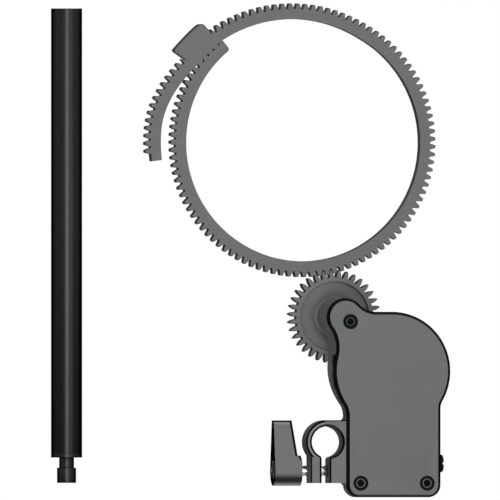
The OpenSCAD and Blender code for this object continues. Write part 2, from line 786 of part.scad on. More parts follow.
// Threaded insert in the thick jaw, for the clamp's stud
module clamp_insert() {
    color(steel) difference() {
        bar_x(slot_x1, slot_x1 + insert_len, stud_z, insert_r);
        bar_x(slot_x1 - cut, slot_x1 + insert_len + cut, stud_z, stud_r + run);
    }
}

// Loose support rod: tube, lower plug, necked spigot and upper plug
plug_len = 12;
plug_thread_r = 3;
plug_hole_deep = 9;
rod_edge = 0.5;
tip_edge = 0.5;
socket_slack = 0.06;
socket_deep = neck_len + tip_len + gap;
rod_tube_z0 = rod_top - rod_len;
rod_bore_r = rod_d / 2 - rod_wall;
rod_low = rod_tube_z0 - plug_flange;
tip_r = rod_bore_r - fit - socket_wall - socket_slack;
module upright(profile) {
    translate([rod_c.x, 0, 0]) rotate_extrude() polygon(profile);
}
module rod_tube() {
    color(black) upright([[rod_bore_r, rod_tube_z0], [rod_d / 2, rod_tube_z0],
        [rod_d / 2, rod_top - rod_edge], [rod_d / 2 - rod_edge, rod_top], [rod_bore_r, rod_top]]);
}
module rod_end_plug() {
    plug_r = rod_bore_r - fit;
    color(black) upright([[plug_thread_r + fit, rod_low], [rod_d / 2 - rod_edge, rod_low],
        [rod_d / 2, rod_low + rod_edge], [rod_d / 2, rod_tube_z0 - fit],
        [plug_r, rod_tube_z0 - fit], [plug_r, rod_low + plug_len],
        [0, rod_low + plug_len], [0, rod_low + plug_hole_deep],
        [plug_thread_r + fit, rod_low + plug_hole_deep]]);
}
module rod_spigot() {
    neck_r = tip_r - neck_step;
    tip_z1 = rod_low - neck_len;
    tip_z0 = tip_z1 - tip_len;
    color(dark) upright([[0, tip_z0], [tip_r - tip_edge, tip_z0],
        [tip_r, tip_z0 + tip_edge], [tip_r, tip_z1 - tip_edge / 2],
        [tip_r - tip_edge / 2, tip_z1], [neck_r, tip_z1], [neck_r, rod_low],
        [plug_thread_r, rod_low], [plug_thread_r, rod_low + plug_hole_deep - gap],
        [0, rod_low + plug_hole_deep - gap]]);
}
module rod_top_plug() {
    plug_r = rod_bore_r - fit;
    hole_r = tip_r + socket_slack;
    color(black) upright([[0, rod_top - socket_deep - rod_wall], [plug_r,
        rod_top - socket_deep - rod_wall], [plug_r, rod_top], [hole_r + rod_edge, rod_top],
        [hole_r, rod_top - rod_edge], [hole_r, rod_top - socket_deep],
        [0, rod_top - socket_deep]]);
}

// Handwheel, its shaft, gear, clip, screw and cap
module wheel_shaft() {
    journal_y0 = front_bush_y0 + gap;
    clip_y0 = train_y0 - clip_t - fit;
    color(steel) difference() {
        union() {
            bar_y(wheel_c, journal_y0, train_y0, front_journal_r);
            bar_y(wheel_c, front_bush_y1 + fit, shaft_y1, wheel_shaft_r);
            bar_y(wheel_c, train_y1 + fit, train_y1 + shaft_collar_t, shaft_collar_r);
        }
        ring_y(wheel_c, clip_y0 - fit, train_y0, wheel_shaft_r + cut, wheel_shaft_r - clip_groove);
        bar_y(wheel_c, wheel_seat_y - wheel_screw_grip - cut, shaft_y1 + cut,
            wheel_screw_r + run);
    }
}
module wheel_gear() {
    web_pcd_r = (wheel_shaft_r + drum_r) / 2;
    color(bronze) difference() {
        union() {
            slab(train_y0, train_y1) translate(wheel_c) gear_shape(wheel_pitch_r, wheel_teeth,
                wheel_pitch_r - train_ded, wheel_pitch_r + train_add, train_thin, train_angle);
            ring_y(wheel_c, drum_y0, train_y0 + train_face / 2, drum_r, drum_r - drum_wall);
        }
        bar_y(wheel_c, train_y0 - cut, train_y1 + cut, wheel_shaft_r + fit);
        for (k = [0:web_hole_count - 1])
            bar_y(wheel_c + web_pcd_r * [cos(360 * k / web_hole_count),
                sin(360 * k / web_hole_count)], train_y0 - cut, train_y1 + cut, web_hole_r);
    }
}
module wheel_clip() {
    clip_y0 = train_y0 - clip_t - fit;
    groove_r = wheel_shaft_r - clip_groove;
    color(steel) difference() {
        ring_y(wheel_c, clip_y0, clip_y0 + clip_t, clip_r, groove_r + fit);
        translate([wheel_c.x - clip_mouth / 2, clip_y0 - cut, wheel_c.y - clip_r - cut])
            cube([clip_mouth, clip_t + 2 * cut, clip_r + cut]);
    }
}
module handwheel() {
    shoulder_r = hand_rim_r + hand_shoulder;
    inner_r = hand_rim_r - hand_rim_t;
    web_y = hand_y1 - hand_web_t;
    color(dark) turned(wheel_c, [
        [wheel_shaft_r + fit, hand_y0], [hand_hub_r, hand_y0], [hand_hub_r, web_y],
        [inner_r, web_y], [inner_r, hand_y0 + hand_edge], [inner_r + hand_edge, hand_y0],
        [shoulder_r, hand_y0], [shoulder_r, hand_y0 + hand_shoulder_w],
        [hand_rim_r, hand_y0 + hand_shoulder_w], [hand_rim_r, hand_y1 - hand_shoulder_w],
        [shoulder_r, hand_y1 - hand_shoulder_w], [shoulder_r, hand_y1 - hand_edge],
        [shoulder_r - hand_edge, hand_y1], [wheel_cap_r + fit, hand_y1],
        [wheel_cap_r + fit, cap_y0], [wheel_head_r + gap, cap_y0],
        [wheel_head_r + gap, wheel_seat_y], [wheel_screw_r + run, wheel_seat_y],
        [wheel_screw_r + run, shaft_y1], [wheel_shaft_r + fit, shaft_y1]]);
}
module grip_ring() {
    n = grip_flutes * flute_points;
    color(black) difference() {
        slab(hand_y0 + hand_shoulder_w + fit, hand_y1 - hand_shoulder_w - fit)
            translate(wheel_c) polygon([for (i = [0:n - 1])
                let (a = 360 * i / n, r = handwheel_r - flute_depth * sq(sin(a * grip_flutes / 2)))
                r * [cos(a), sin(a)]]);
        bar_y(wheel_c, hand_y0, hand_y1, hand_rim_r + fit);
    }
}
module wheel_screw() {
    color(steel) difference() {
        union() {
            bar_y(wheel_c, wheel_seat_y, wheel_seat_y + wheel_head_h, wheel_head_r);
            bar_y(wheel_c, wheel_seat_y - wheel_screw_grip, wheel_seat_y, wheel_screw_r);
        }
        bar_hex(wheel_c, wheel_seat_y + wheel_head_h - socket_depth,
            wheel_seat_y + wheel_head_h + cut, socket_r);
    }
}
module wheel_cap() {
    color(dark) bar_y(wheel_c, cap_y0, hand_y1, wheel_cap_r);
}

// Drive hub, pinion, bushes and drive gear
module drive_hub() {
    nose_y1 = train_y1 + fit;
    bore_r = hub_bush_r + fit;
    color(grey) difference() {
        turned(drive_c, [[bore_r, hub_y0], [hub_nose_r, hub_y0], [hub_nose_r, nose_y1],
            [hub_journal_r, nose_y1], [hub_journal_r, back_y + gap], [drive_hub_r, back_y + gap],
            [drive_hub_r, web_y0 - hub_collar_t], [hub_collar_r, web_y0 - hub_collar_t],
            [hub_collar_r, web_y0], [hub_spigot_r, web_y0], [hub_spigot_r, web_y1],
            [bore_r, web_y1]]);
        for (p = gear_screw_spots()) bar_y(p, web_y1 - gear_screw_grip - cut, web_y1 + cut,
            gear_screw_r + run);
    }
}
function gear_screw_spots() = [for (k = [0:gear_screw_count - 1])
    let (a = 90 + 360 * k / gear_screw_count) drive_c + gear_screw_at * [cos(a), sin(a)]];
module drive_pinion() {
    color(steel) difference() {
        slab(train_y0, train_y1) translate(drive_c) gear_shape(pinion_pitch_r, pinion_teeth,
            pinion_pitch_r - train_ded, pinion_tip_r, train_thin,
            train_angle + 180 + 180 / pinion_teeth);
        bar_y(drive_c, train_y0 - cut, train_y1 + cut, hub_nose_r + fit);
    }
}
module hub_bushes() {
    color(bronze) for (y = [hub_y0, web_y1 - hub_bush_len])
        ring_y(drive_c, y, y + hub_bush_len, hub_bush_r, axle_r + run);
}
module drive_gear() {
    color(grey) difference() {
        slab(drive_y0, drive_y1) translate(drive_c) gear_shape(drive_pitch_r, drive_teeth,
            drive_root_r, drive_pitch_r + drive_add, drive_thin, belt_angle + drive_phase);
        bar_y(drive_c, drive_y0 - cut, web_y0, web_r);
        bar_y(drive_c, web_y1, drive_y1 + cut, web_r);
        bar_y(drive_c, web_y0 - cut, web_y1 + cut, hub_spigot_r + fit);
        for (p = gear_screw_spots()) bar_y(p, web_y0 - cut, web_y1 + cut, gear_screw_r + run);
    }
}
module gear_screws() {
    color(steel) for (p = gear_screw_spots()) {
        bar_y(p, web_y1, web_y1 + gear_screw_head_h, gear_screw_head_r);
        bar_y(p, web_y1 - gear_screw_grip, web_y1, gear_screw_r);
    }
}

// Gear belt. A place on it is the angle t round its centre, which grows past a full turn
// where it laps over itself, and a radius that the lap and the free tail lift
belt_end = belt_start + 360 + tail_run;
lift_start = 420;
lift_power = 1.35;
tail_from = 366.3;
tail_start = belt_start + tail_from;
tail_span = 40;
lap_gap = 0.1;
lap_near = 2;
tooth_margin = 1;
keeper_run = 14.8;
keeper_from = 361.8;
keeper_a0 = belt_start + keeper_from;
keeper_a1 = keeper_a0 + keeper_run;
keeper_round = 2.4;
belt_y0 = drive_y0;
belt_y1 = drive_y1;
belt_pitch_a = 360 / belt_teeth;
lift_span = belt_start + 360 - lift_start;
function lift(t) = lap_lift * pow(clamped((t - lift_start) / lift_span), lift_power)
    + tail_lift * smooth((t - tail_start) / tail_span);
function lid(t) = t > keeper_a0 && t < keeper_a1 ? belt_root_r + lift(t)
    : t + 360 < belt_end + tooth_margin ? belt_in_r + lift(t + 360) - lap_gap
    : belt_pitch_r + belt_add + lift(t);
function belt_at(t, r) = belt_c + r * [cos(t), sin(t)];
belt_gap_a = belt_angle + 180 - drive_phase * drive_teeth / belt_teeth;
first_tooth = belt_gap_a + belt_pitch_a *
    (ceil((belt_start + 2 * tooth_margin - belt_gap_a) / belt_pitch_a - 0.5) + 0.5);
tooth_centres = [for (t = first_tooth; t < belt_end - 2 * tooth_margin;
    t = t + belt_pitch_a * belt_pitch_r / (belt_pitch_r + lift(t))) t];
belt_tooth = tooth(belt_pitch_r, belt_teeth, belt_root_r, belt_pitch_r + belt_add, drive_thin);
belt_outside = [for (t = tooth_centres, p = belt_tooth)
    let (a = t + p[0] * belt_pitch_r / (belt_pitch_r + lift(t)))
    belt_at(a, min(p[1] + lift(a), lid(a)))];
belt_inside_steps = 120;
belt_inside = [for (i = [belt_inside_steps:-1:0])
    let (t = belt_start + (belt_end - belt_start) * i / belt_inside_steps)
    belt_at(t, t < lift_start + lap_near ? belt_in_r - cut : belt_in_r + lift(t))];
end_high = belt_at(belt_start, belt_root_r);
tail_high = belt_at(belt_end, belt_root_r + lift(belt_end));
module gear_belt() {
    color(grey) difference() {
        slab(belt_y0, belt_y1) polygon(concat([end_high], belt_outside, [tail_high],
            belt_inside));
        bar_y(belt_c, belt_y0 - cut, belt_y1 + cut, belt_in_r);
        radial(keeper_mid) {
            cylinder(r = keeper_screw_r + run, h = 2 * belt_pitch_r);
            translate([0, 0, belt_in_r - cut])
                cylinder(r = keeper_insert_r + fit, h = belt_band + cut);
        }
    }
}

// Keeper block over the lap, with its screw and the insert in the belt's inner end
keeper_mid = keeper_a0 + keeper_run / 2;
keeper_screw_r = 1.25;
keeper_head_r = 2.3;
keeper_head_h = 2;
keeper_head_sink = 0.6;
keeper_insert_r = 2.1;
keeper_insert_sink = 0.5;
keeper_steps = 6;
keeper_low = belt_root_r + fit;
keeper_top = belt_root_r + keeper_h;
keeper_head_at = keeper_top + lift(keeper_mid) - keeper_head_sink;
module radial(t) {
    translate([belt_c.x, (belt_y0 + belt_y1) / 2, belt_c.y]) rotate([0, 90 - t, 0]) children();
}
function keeper_point(t, h) = belt_at(t, h + lift(t));
keeper_corner = keeper_round / keeper_top * 180 / PI;
module belt_keeper() {
    under = [for (i = [0:keeper_steps])
        keeper_point(keeper_a0 + keeper_run * i / keeper_steps, keeper_low)];
    end_corner = [for (a = [0:30:90]) keeper_point(
        keeper_a1 - keeper_corner + keeper_corner * cos(a),
        keeper_top - keeper_round + keeper_round * sin(a))];
    over = [for (i = [keeper_steps - 1:-1:1]) keeper_point(
        keeper_a0 + keeper_corner + (keeper_run - 2 * keeper_corner) * i / keeper_steps,
        keeper_top)];
    start_corner = [for (a = [90:30:180]) keeper_point(
        keeper_a0 + keeper_corner + keeper_corner * cos(a),
        keeper_top - keeper_round + keeper_round * sin(a))];
    color(grey) difference() {
        slab(belt_y0, belt_y1) polygon(concat(under, end_corner, over, start_corner));
        radial(keeper_mid) {
            cylinder(r = keeper_screw_r + run, h = 2 * belt_pitch_r);
            translate([0, 0, keeper_head_at - keeper_head_h])
                cylinder(r = keeper_head_r + gap / 2, h = keeper_h);
        }
    }
}
module keeper_screw() {
    color(dark) radial(keeper_mid) difference() {
        union() {
            translate([0, 0, keeper_head_at - keeper_head_h])
                cylinder(r = keeper_head_r, h = keeper_head_h);
            translate([0, 0, belt_in_r + 2 * keeper_insert_sink]) cylinder(r = keeper_screw_r,
                h = keeper_head_at - keeper_head_h - belt_in_r - 2 * keeper_insert_sink);
        }
        translate([0, 0, keeper_head_at - socket_depth])
            cylinder(r = socket_r, h = socket_depth + cut, $fn = 6);
    }
}
module keeper_insert() {
    color(bronze) radial(keeper_mid) translate([0, 0, belt_in_r + keeper_insert_sink])
        difference() {
            cylinder(r = keeper_insert_r, h = belt_band - 2 * keeper_insert_sink);
            translate([0, 0, -cut])
                cylinder(r = keeper_screw_r + run, h = belt_band + 2 * cut);
        }
}

// Clamp lever: washer, stud with its splined head, screw, spring and the lever
module spline_shape(r) {
    n = 2 * spline_teeth;
    polygon([for (i = [0:n - 1]) let (a = 360 * i / n)
        (r - (i % 2) * spline_depth) * [cos(a), sin(a)]]);
}
module lever_washer() {
    color(steel) difference() {
        bar_x(hub_x1 - washer_t, hub_x1, stud_z, washer_r);
        bar_x(hub_x1 - washer_t - cut, hub_x1 + cut, stud_z, stud_r + run);
    }
}
module clamp_stud() {
    color(steel) difference() {
        union() {
            bar_x(head_x1 - stud_head_len / 2, slot_x1 + stud_reach, stud_z, stud_r);
            bar_x(head_x0, head_x1 - spline_len, stud_z, spline_r - spline_depth);
            translate([head_x1 - spline_len, 0, stud_z]) rotate([90, 0, 90])
                linear_extrude(spline_len) spline_shape(spline_r);
        }
        bar_x(head_x0 - cut, head_x0 + lever_screw_grip + cut, stud_z, lever_screw_r + run);
    }
}
module lever_screw() {
    color(dark) difference() {
        union() {
            bar_x(lever_head_x0, lever_head_x1, stud_z, lever_head_r);
            bar_x(lever_head_x0, head_x0 + lever_screw_grip, stud_z, lever_screw_r);
        }
        bar_x(lever_head_x0 - cut, lever_head_x0 + socket_depth, stud_z, socket_r - gap);
    }
}
module lever_spring() {
    x0 = lever_head_x1 + spring_wire_r + fit;
    length = shoulder_x0 - lever_head_x1 - 2 * spring_wire_r - 2 * fit;
    n = spring_turns * spring_rings;
    points = [for (i = [0:n], k = [0:spring_sides - 1])
        let (a = 360 * i / spring_rings, b = 360 * k / spring_sides,
            r = spring_coil_r + spring_wire_r * cos(b))
        [x0 + length * i / n + spring_wire_r * sin(b), r * cos(a), stud_z + r * sin(a)]];
    sides = [for (i = [0:n - 1], k = [0:spring_sides - 1])
        let (a = i * spring_sides + k, b = i * spring_sides + (k + 1) % spring_sides)
        [a, b, b + spring_sides, a + spring_sides]];
    first = [for (k = [spring_sides - 1:-1:0]) k];
    last = [for (k = [0:spring_sides - 1]) n * spring_sides + k];
    color(steel) polyhedron(points, concat([first, last], sides));
}
module clamp_lever() {
    end_z = stud_z + lever_len;
    half_end = lever_end_t / 2;
    flare_low = flare_low_share * lever_hub_r;
    flare_high = flare_high_share * lever_hub_r;
    flare_x = hub_x1 - flare_x_share * lever_hub_w;
    color(grey) difference() {
        union() {
            bar_x(hub_x0, hub_x1, stud_z, lever_hub_r);
            intersection() {
                slab(-lever_hub_r, lever_hub_r) polygon([[hub_x0, stud_z], [hub_x0, end_z],
                    [hub_x0 + lever_end_w, end_z], [flare_x, stud_z + flare_high],
                    [hub_x1, stud_z + flare_low], [hub_x1, stud_z]]);
                side_slab(hub_x0 - cut, hub_x1 + cut) polygon([[-lever_hub_r, stud_z],
                    [-half_end, end_z + cut], [half_end, end_z + cut], [lever_hub_r, stud_z]]);
            }
        }
        bar_x(hub_x0 - cut, shoulder_x0, stud_z, chamber_r);
        bar_x(shoulder_x0 - cut, shoulder_x1 + cut, stud_z, lever_screw_r + gap);
        translate([shoulder_x1, 0, stud_z]) rotate([90, 0, 90])
            linear_extrude(hub_x1 - shoulder_x1 + cut) spline_shape(spline_r + 2 * run);
        bar_x(hub_x1 - washer_t - washer_gap, hub_x1 + cut, stud_z, washer_r + gap);
    }
}

gear_case();
front_cover();
cover_screws();
axle_screw();
drive_axle();
axle_washer();
axle_nut();
drive_bush();
wheel_bush_front();
wheel_bush_rear();
drag_leaf();
drag_pad();
clamp_insert();
rod_tube();
rod_end_plug();
rod_spigot();
rod_top_plug();
wheel_shaft();
wheel_gear();
wheel_clip();
handwheel();
grip_ring();
wheel_screw();
wheel_cap();
drive_hub();
drive_pinion();
hub_bushes();
drive_gear();
gear_screws();
gear_belt();
belt_keeper();
keeper_screw();
keeper_insert();
lever_washer();
clamp_stud();
lever_screw();
clamp_lever();
lever_spring();
drag_knob();
drag_plunger();
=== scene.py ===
import json
import math

import bmesh
import bpy
import numpy as np
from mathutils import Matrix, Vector


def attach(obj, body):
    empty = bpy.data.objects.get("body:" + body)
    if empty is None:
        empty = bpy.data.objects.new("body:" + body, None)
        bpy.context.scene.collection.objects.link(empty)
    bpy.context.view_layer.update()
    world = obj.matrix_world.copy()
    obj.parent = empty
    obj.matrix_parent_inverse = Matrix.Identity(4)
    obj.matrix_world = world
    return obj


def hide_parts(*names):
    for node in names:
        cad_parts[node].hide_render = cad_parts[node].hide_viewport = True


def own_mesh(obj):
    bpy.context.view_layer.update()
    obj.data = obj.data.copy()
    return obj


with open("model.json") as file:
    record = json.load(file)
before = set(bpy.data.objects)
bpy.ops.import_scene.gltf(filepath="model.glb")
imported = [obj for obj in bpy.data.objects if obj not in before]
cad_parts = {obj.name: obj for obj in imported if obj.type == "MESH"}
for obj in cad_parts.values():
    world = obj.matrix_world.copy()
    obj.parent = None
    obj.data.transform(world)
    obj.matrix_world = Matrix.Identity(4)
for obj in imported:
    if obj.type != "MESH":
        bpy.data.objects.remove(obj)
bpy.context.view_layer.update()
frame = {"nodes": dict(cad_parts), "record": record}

# Camera. The set was photographed level, from 10.6 degrees left of the gear case's front and
# from so far away that nothing converges, so the view is parallel, 240.8 mm across.
MM = 0.001
VIEW_TURN = math.radians(-10.6)
VIEW_WIDTH = 240.8 * MM
MIDDLE_ACROSS, MIDDLE_HEIGHT = -36.29 * MM, 92.47 * MM
CAMERA_DISTANCE = 1.5
across = np.array([math.cos(VIEW_TURN), math.sin(VIEW_TURN), 0])
ahead = np.array([-math.sin(VIEW_TURN), math.cos(VIEW_TURN), 0])
picture_middle = MIDDLE_ACROSS * across + np.array([0, 0, MIDDLE_HEIGHT])

camera = bpy.data.objects.new("camera", bpy.data.cameras.new("camera"))
camera.data.type = "ORTHO"
camera.data.ortho_scale = VIEW_WIDTH
camera.location = picture_middle - CAMERA_DISTANCE * ahead
camera.rotation_euler = (math.pi / 2, 0, VIEW_TURN)
bpy.context.collection.objects.link(camera)
bpy.context.scene.camera = camera
bpy.context.scene.view_settings.view_transform = "Standard"

# Studio. A tall softbox before the set gives the flat faces their even tone and the rod its
# streak, and one to the right widens the streak. A weak softbox overhead rounds the tops, and
# the pale floor lights what faces down. The white background is the world's.
FLOOR_DROP = 400 * MM
SOFTBOX_HEIGHT = 1.1


def softbox(name, place, aim, width, height, watts):
    """An even rectangular lamp at place, turned so that it shines at aim."""
    lamp = bpy.data.objects.new(name, bpy.data.lights.new(name, "AREA"))
    lamp.data.shape = "RECTANGLE"
    lamp.data.size, lamp.data.size_y, lamp.data.energy = width, height, watts
    lamp.location = place
    lamp.rotation_euler = Vector(np.asarray(aim) - np.asarray(place)).to_track_quat(
        "-Z", "Y").to_euler()
    lamp.visible_camera = False
    bpy.context.collection.objects.link(lamp)


softbox("front_softbox", picture_middle - 1.3 * ahead, picture_middle, 0.24, SOFTBOX_HEIGHT,
        12)
softbox("right_softbox", picture_middle - 1.1 * ahead + 0.65 * across, picture_middle, 0.35,
        SOFTBOX_HEIGHT, 3)
softbox("top_softbox", picture_middle + np.array([-0.1, -0.35, 0.9]), picture_middle, 0.8,
        0.6, 3)

world = bpy.data.worlds.new("studio")
world.use_nodes = True
bpy.context.scene.world = world
world_tree = world.node_tree
rays = world_tree.nodes.new("ShaderNodeLightPath")
seen = world_tree.nodes.new("ShaderNodeMath")
seen.operation = "MAXIMUM"
seen_through = world_tree.nodes.new("ShaderNodeMath")
seen_through.operation = "MAXIMUM"
world_tone = world_tree.nodes.new("ShaderNodeMix")
world_tone.inputs["A"].default_value = 0.10
world_tone.inputs["B"].default_value = 1.0
background = world_tree.nodes["Background"]
background.inputs["Color"].default_value = (1, 1, 1, 1)
world_tree.links.new(rays.outputs["Is Camera Ray"], seen.inputs[0])
world_tree.links.new(rays.outputs["Is Glossy Ray"], seen.inputs[1])
world_tree.links.new(seen.outputs[0], seen_through.inputs[0])
world_tree.links.new(rays.outputs["Is Transmission Ray"], seen_through.inputs[1])
world_tree.links.new(seen_through.outputs[0], world_tone.inputs["Factor"])
world_tree.links.new(world_tone.outputs["Result"], background.inputs["Strength"])

floor_mesh = bpy.data.meshes.new("floor")
floor_mesh.from_pydata([(-4, -4, -FLOOR_DROP), (4, -4, -FLOOR_DROP), (4, 4, -FLOOR_DROP),
                        (-4, 4, -FLOOR_DROP)], [], [(0, 1, 2, 3)])
floor = bpy.data.objects.new("floor", floor_mesh)
bpy.context.collection.objects.link(floor)
floor_paint = bpy.data.materials.new("floor_paint")
floor_paint.use_nodes = True
floor_paint.node_tree.nodes["Principled BSDF"].inputs["Base Color"].default_value = (
    0.86, 0.86, 0.86, 1)
floor_paint.node_tree.nodes["Principled BSDF"].inputs["Roughness"].default_value = 0.9
floor_mesh.materials.append(floor_paint)


# Front cover. A 2.3 mm aluminium plate, milled with a 45-degree bevel all round and three
# counterbores, bead-blasted and anodised grey; its bevel and sides are painted dark as painted
# shade.
class Wire:
    """A socket of a material's nodes. Arithmetic on it adds Math nodes."""

    def __init__(self, paint, socket):
        self.paint, self.socket = paint, socket

    def math(self, operation, *others):
        values = dict(enumerate((self, *others)))
        return self.paint.node("Math", {"operation": operation}, values)

    def __add__(self, other):
        return self.math("ADD", other)

    def __sub__(self, other):
        return self.math("SUBTRACT", other)

    def __mul__(self, other):
        return self.math("MULTIPLY", other)

    def __rsub__(self, other):
        return self * -1 + other

    __radd__, __rmul__ = __add__, __mul__

    def between(self, low, high):
        """0 below low, 1 above high and a smooth rise from one to the other."""
        return self.paint.node("MapRange", {"interpolation_type": "SMOOTHSTEP"},
                               {"Value": self, "From Min": low, "From Max": high})


class Paint:
    """One finish: a Principled shader, and node(), which adds any other node to it."""

    def __init__(self, name, **sockets):
        self.material = bpy.data.materials.new(name)
        self.material.use_nodes = True
        self.tree = self.material.node_tree
        self.shader = self.tree.nodes["Principled BSDF"]
        self.set(**sockets)

    def plug(self, socket, value):
        if isinstance(value, Wire):
            self.tree.links.new(value.socket, socket)
        elif hasattr(value, "__len__") and len(value) == 3 and socket.type == "RGBA":
            socket.default_value = (*value, 1)
        else:
            socket.default_value = value

    def set(self, **sockets):
        for name, value in sockets.items():
            self.plug(self.shader.inputs[name.replace("_", " ")], value)

    def node(self, kind, settings, values, out=0):
        node = self.tree.nodes.new("ShaderNode" + kind)
        for name, value in settings.items():
            setattr(node, name, value)
        for name, value in values.items():
            socket = node.inputs[name]
            if kind == "Mix" and settings.get("data_type") == "RGBA" and name in "AB":
                socket = [s for s in node.inputs if s.name == name and s.type == "RGBA"][0]
            self.plug(socket, value)
        if kind == "Mix" and settings.get("data_type") == "RGBA":
            return Wire(self, [s for s in node.outputs if s.type == "RGBA"][0])
        return Wire(self, node.outputs[out])

    def place(self):
        return self.node("TexCoord", {}, {}, "Object")

    def facing(self):
        """The surface's own direction, as x, y and z wires."""
        normal = self.node("TexCoord", {}, {}, "Normal")
        return [self.node("SeparateXYZ", {}, {"Vector": normal}, axis) for axis in "XYZ"]

    def noise(self, size, detail=3.0, stretch=(1, 1, 1)):
        """Cloudy noise whose blotches are about size metres across."""
        spot = self.node("Mapping", {}, {"Vector": self.place(), "Scale": stretch})
        return self.node("TexNoise", {}, {"Vector": spot, "Scale": 1 / size,
                                          "Detail": detail, "Roughness": 0.55}, "Fac")

    def mix(self, share, first, second):
        return self.node("Mix", {"data_type": "RGBA"},
                         {"Factor": share, "A": first, "B": second})

    def bump(self, height, depth):
        """Relief of depth metres where height runs from 0 to 1."""
        self.set(Normal=self.node("Bump", {}, {"Strength": 1.0, "Distance": depth,
                                               "Height": height}))


def blasted(name, tone, rough=0.5, gloss=0.12, grain=0.35 * MM, depth=0.006 * MM):
    """Bead-blasted and dyed metal or fine moulded plastic: a dense grain that lifts the
    tone, the roughness and the relief together, over wide faint clouds."""
    paint = Paint(name, Specular_IOR_Level=gloss)
    speck = paint.noise(grain, 2.0)
    cloud = paint.noise(14 * MM, 3.0)
    share = (speck - 0.5) * 0.5 + (cloud - 0.5) * 0.35 + 0.5
    low = tuple(0.92 * c for c in tone)
    high = tuple(1.08 * c for c in tone)
    paint.tint = paint.mix(share, low, high)
    paint.set(Base_Color=paint.tint, Roughness=(speck - 0.5) * 0.12 + rough)
    paint.bump(speck, depth)
    return paint


def paint_edge_shading(paint, side_shading, top_shading, low_shading, wall_shading, low_wall_shading=None, edge=(0.86, 0.97)):
    """A part faced towards the front: where the surface turns off the Y axis, its colour is
    painted light and shade by the way it faces. The first three tones are painted shade on broken
    edges that look sideways, up and down, the fourth painted light and shade on the walls behind
    them, and the fifth, if given, on such walls where they look down."""
    x, y, z = paint.facing()
    level = y.math("ABSOLUTE")
    turned_off = 1 - level.between(*edge)
    wall = 1 - level.between(0.1, 0.3)
    upper, lower = z.between(0.25, 0.62), (z * -1).between(0.2, 0.62)
    rim_shading = paint.mix(lower, paint.mix(upper, side_shading, top_shading), low_shading)
    walls = paint.mix((z * -1).between(0.25, 0.9), wall_shading, low_wall_shading or wall_shading)
    paint.tint = paint.mix(turned_off, paint.tint, paint.mix(wall, rim_shading, walls))
    paint.set(Base_Color=paint.tint, Coat_Weight=(1 - turned_off) * 0.12, Coat_Roughness=0.4)
    return paint


ROUND_MIDDLE, ROUND_R = np.array([31.4, 34.1]), 28.6
DRIVE_AXIS = np.array([10.9, 60.4])
LOBE_MIDDLE = DRIVE_AXIS + 2.3 * np.array([math.cos(math.radians(185)),
                                           math.sin(math.radians(185))])
LOBE_R, LOBE_FILLET, TOP_FILLET, RIGHT_FILLET, LEFT_FILLET = 9.05, 17, 11.5, 7.6, 11.7
CASE_LEFT, CASE_RIGHT, CASE_LOW, CORNER_R = 9.2, 55.2, -26.6, 6
FACE_Y, COVER_BACK_Y = -7.9, -5.6
COUNTERBORE_R, COUNTERBORE_FLOOR_Y = 3.6, -6.0
COVER_SCREWS = [(15.95, -19.85), (48.45, -19.85)]
AXLE_SCREW = (10.9, 58.0)


def circle_arc(middle, radius, start, end, step=2.0):
    """Points at even angles along an arc, from start up to but without end, in degrees."""
    count = max(2, int(abs(end - start) / step))
    turn = np.radians(start + (end - start) * np.arange(count) / count)
    return np.asarray(middle) + radius * np.stack([np.cos(turn), np.sin(turn)], 1)


def heading(start, end):
    return math.degrees(math.atan2(end[1] - start[1], end[0] - start[0]))


def case_outline(inset):
    """The case's outline seen from the front, clockwise from its top: a large circle, a
    straight lower part and a lobe, joined by hollow fillets, moved inwards by inset. Each
    fillet's centre is as far from both circles as its own radius and theirs add up to."""
    gap = ROUND_MIDDLE - LOBE_MIDDLE
    reach = np.hypot(*gap)
    lobe_sum, round_sum = LOBE_R + LOBE_FILLET, ROUND_R + LOBE_FILLET
    along = (reach ** 2 + lobe_sum ** 2 - round_sum ** 2) / (2 * reach)
    side = math.sqrt(lobe_sum ** 2 - along ** 2)
    unit = gap / reach
    lobe_fillet = LOBE_MIDDLE + unit * along - side * np.array([-unit[1], unit[0]])
    top_y = ROUND_MIDDLE[1] + ROUND_R + TOP_FILLET
    top_fillet = np.array([LOBE_MIDDLE[0] + math.sqrt(
        (LOBE_R + TOP_FILLET) ** 2 - (top_y - LOBE_MIDDLE[1]) ** 2), top_y])

    def side_fillet(x, radius):
        drop = math.sqrt((ROUND_R + radius) ** 2 - (x - ROUND_MIDDLE[0]) ** 2)
        return np.array([x, ROUND_MIDDLE[1] - drop])

    right = side_fillet(CASE_RIGHT + RIGHT_FILLET, RIGHT_FILLET)
    left = side_fillet(CASE_LEFT - LEFT_FILLET, LEFT_FILLET)
    low = CASE_LOW + CORNER_R
    return np.concatenate([
        circle_arc(ROUND_MIDDLE, ROUND_R - inset, 90, heading(ROUND_MIDDLE, right)),
        circle_arc(right, RIGHT_FILLET + inset, heading(right, ROUND_MIDDLE), 180),
        circle_arc([CASE_RIGHT - CORNER_R, low], CORNER_R - inset, 0, -90),
        circle_arc([CASE_LEFT + CORNER_R, low], CORNER_R - inset, -90, -180),
        circle_arc(left, LEFT_FILLET + inset, 0, heading(left, ROUND_MIDDLE)),
        circle_arc(ROUND_MIDDLE, ROUND_R - inset, 360 + heading(ROUND_MIDDLE, left),
                   heading(ROUND_MIDDLE, lobe_fillet)),
        circle_arc(lobe_fillet, LOBE_FILLET + inset, heading(lobe_fillet, ROUND_MIDDLE),
                   heading(lobe_fillet, LOBE_MIDDLE)),
        circle_arc(LOBE_MIDDLE, LOBE_R - inset, 360 + heading(LOBE_MIDDLE, lobe_fillet),
                   heading(LOBE_MIDDLE, top_fillet)),
        circle_arc(top_fillet, TOP_FILLET + inset, 360 + heading(top_fillet, LOBE_MIDDLE), 270),
    ])


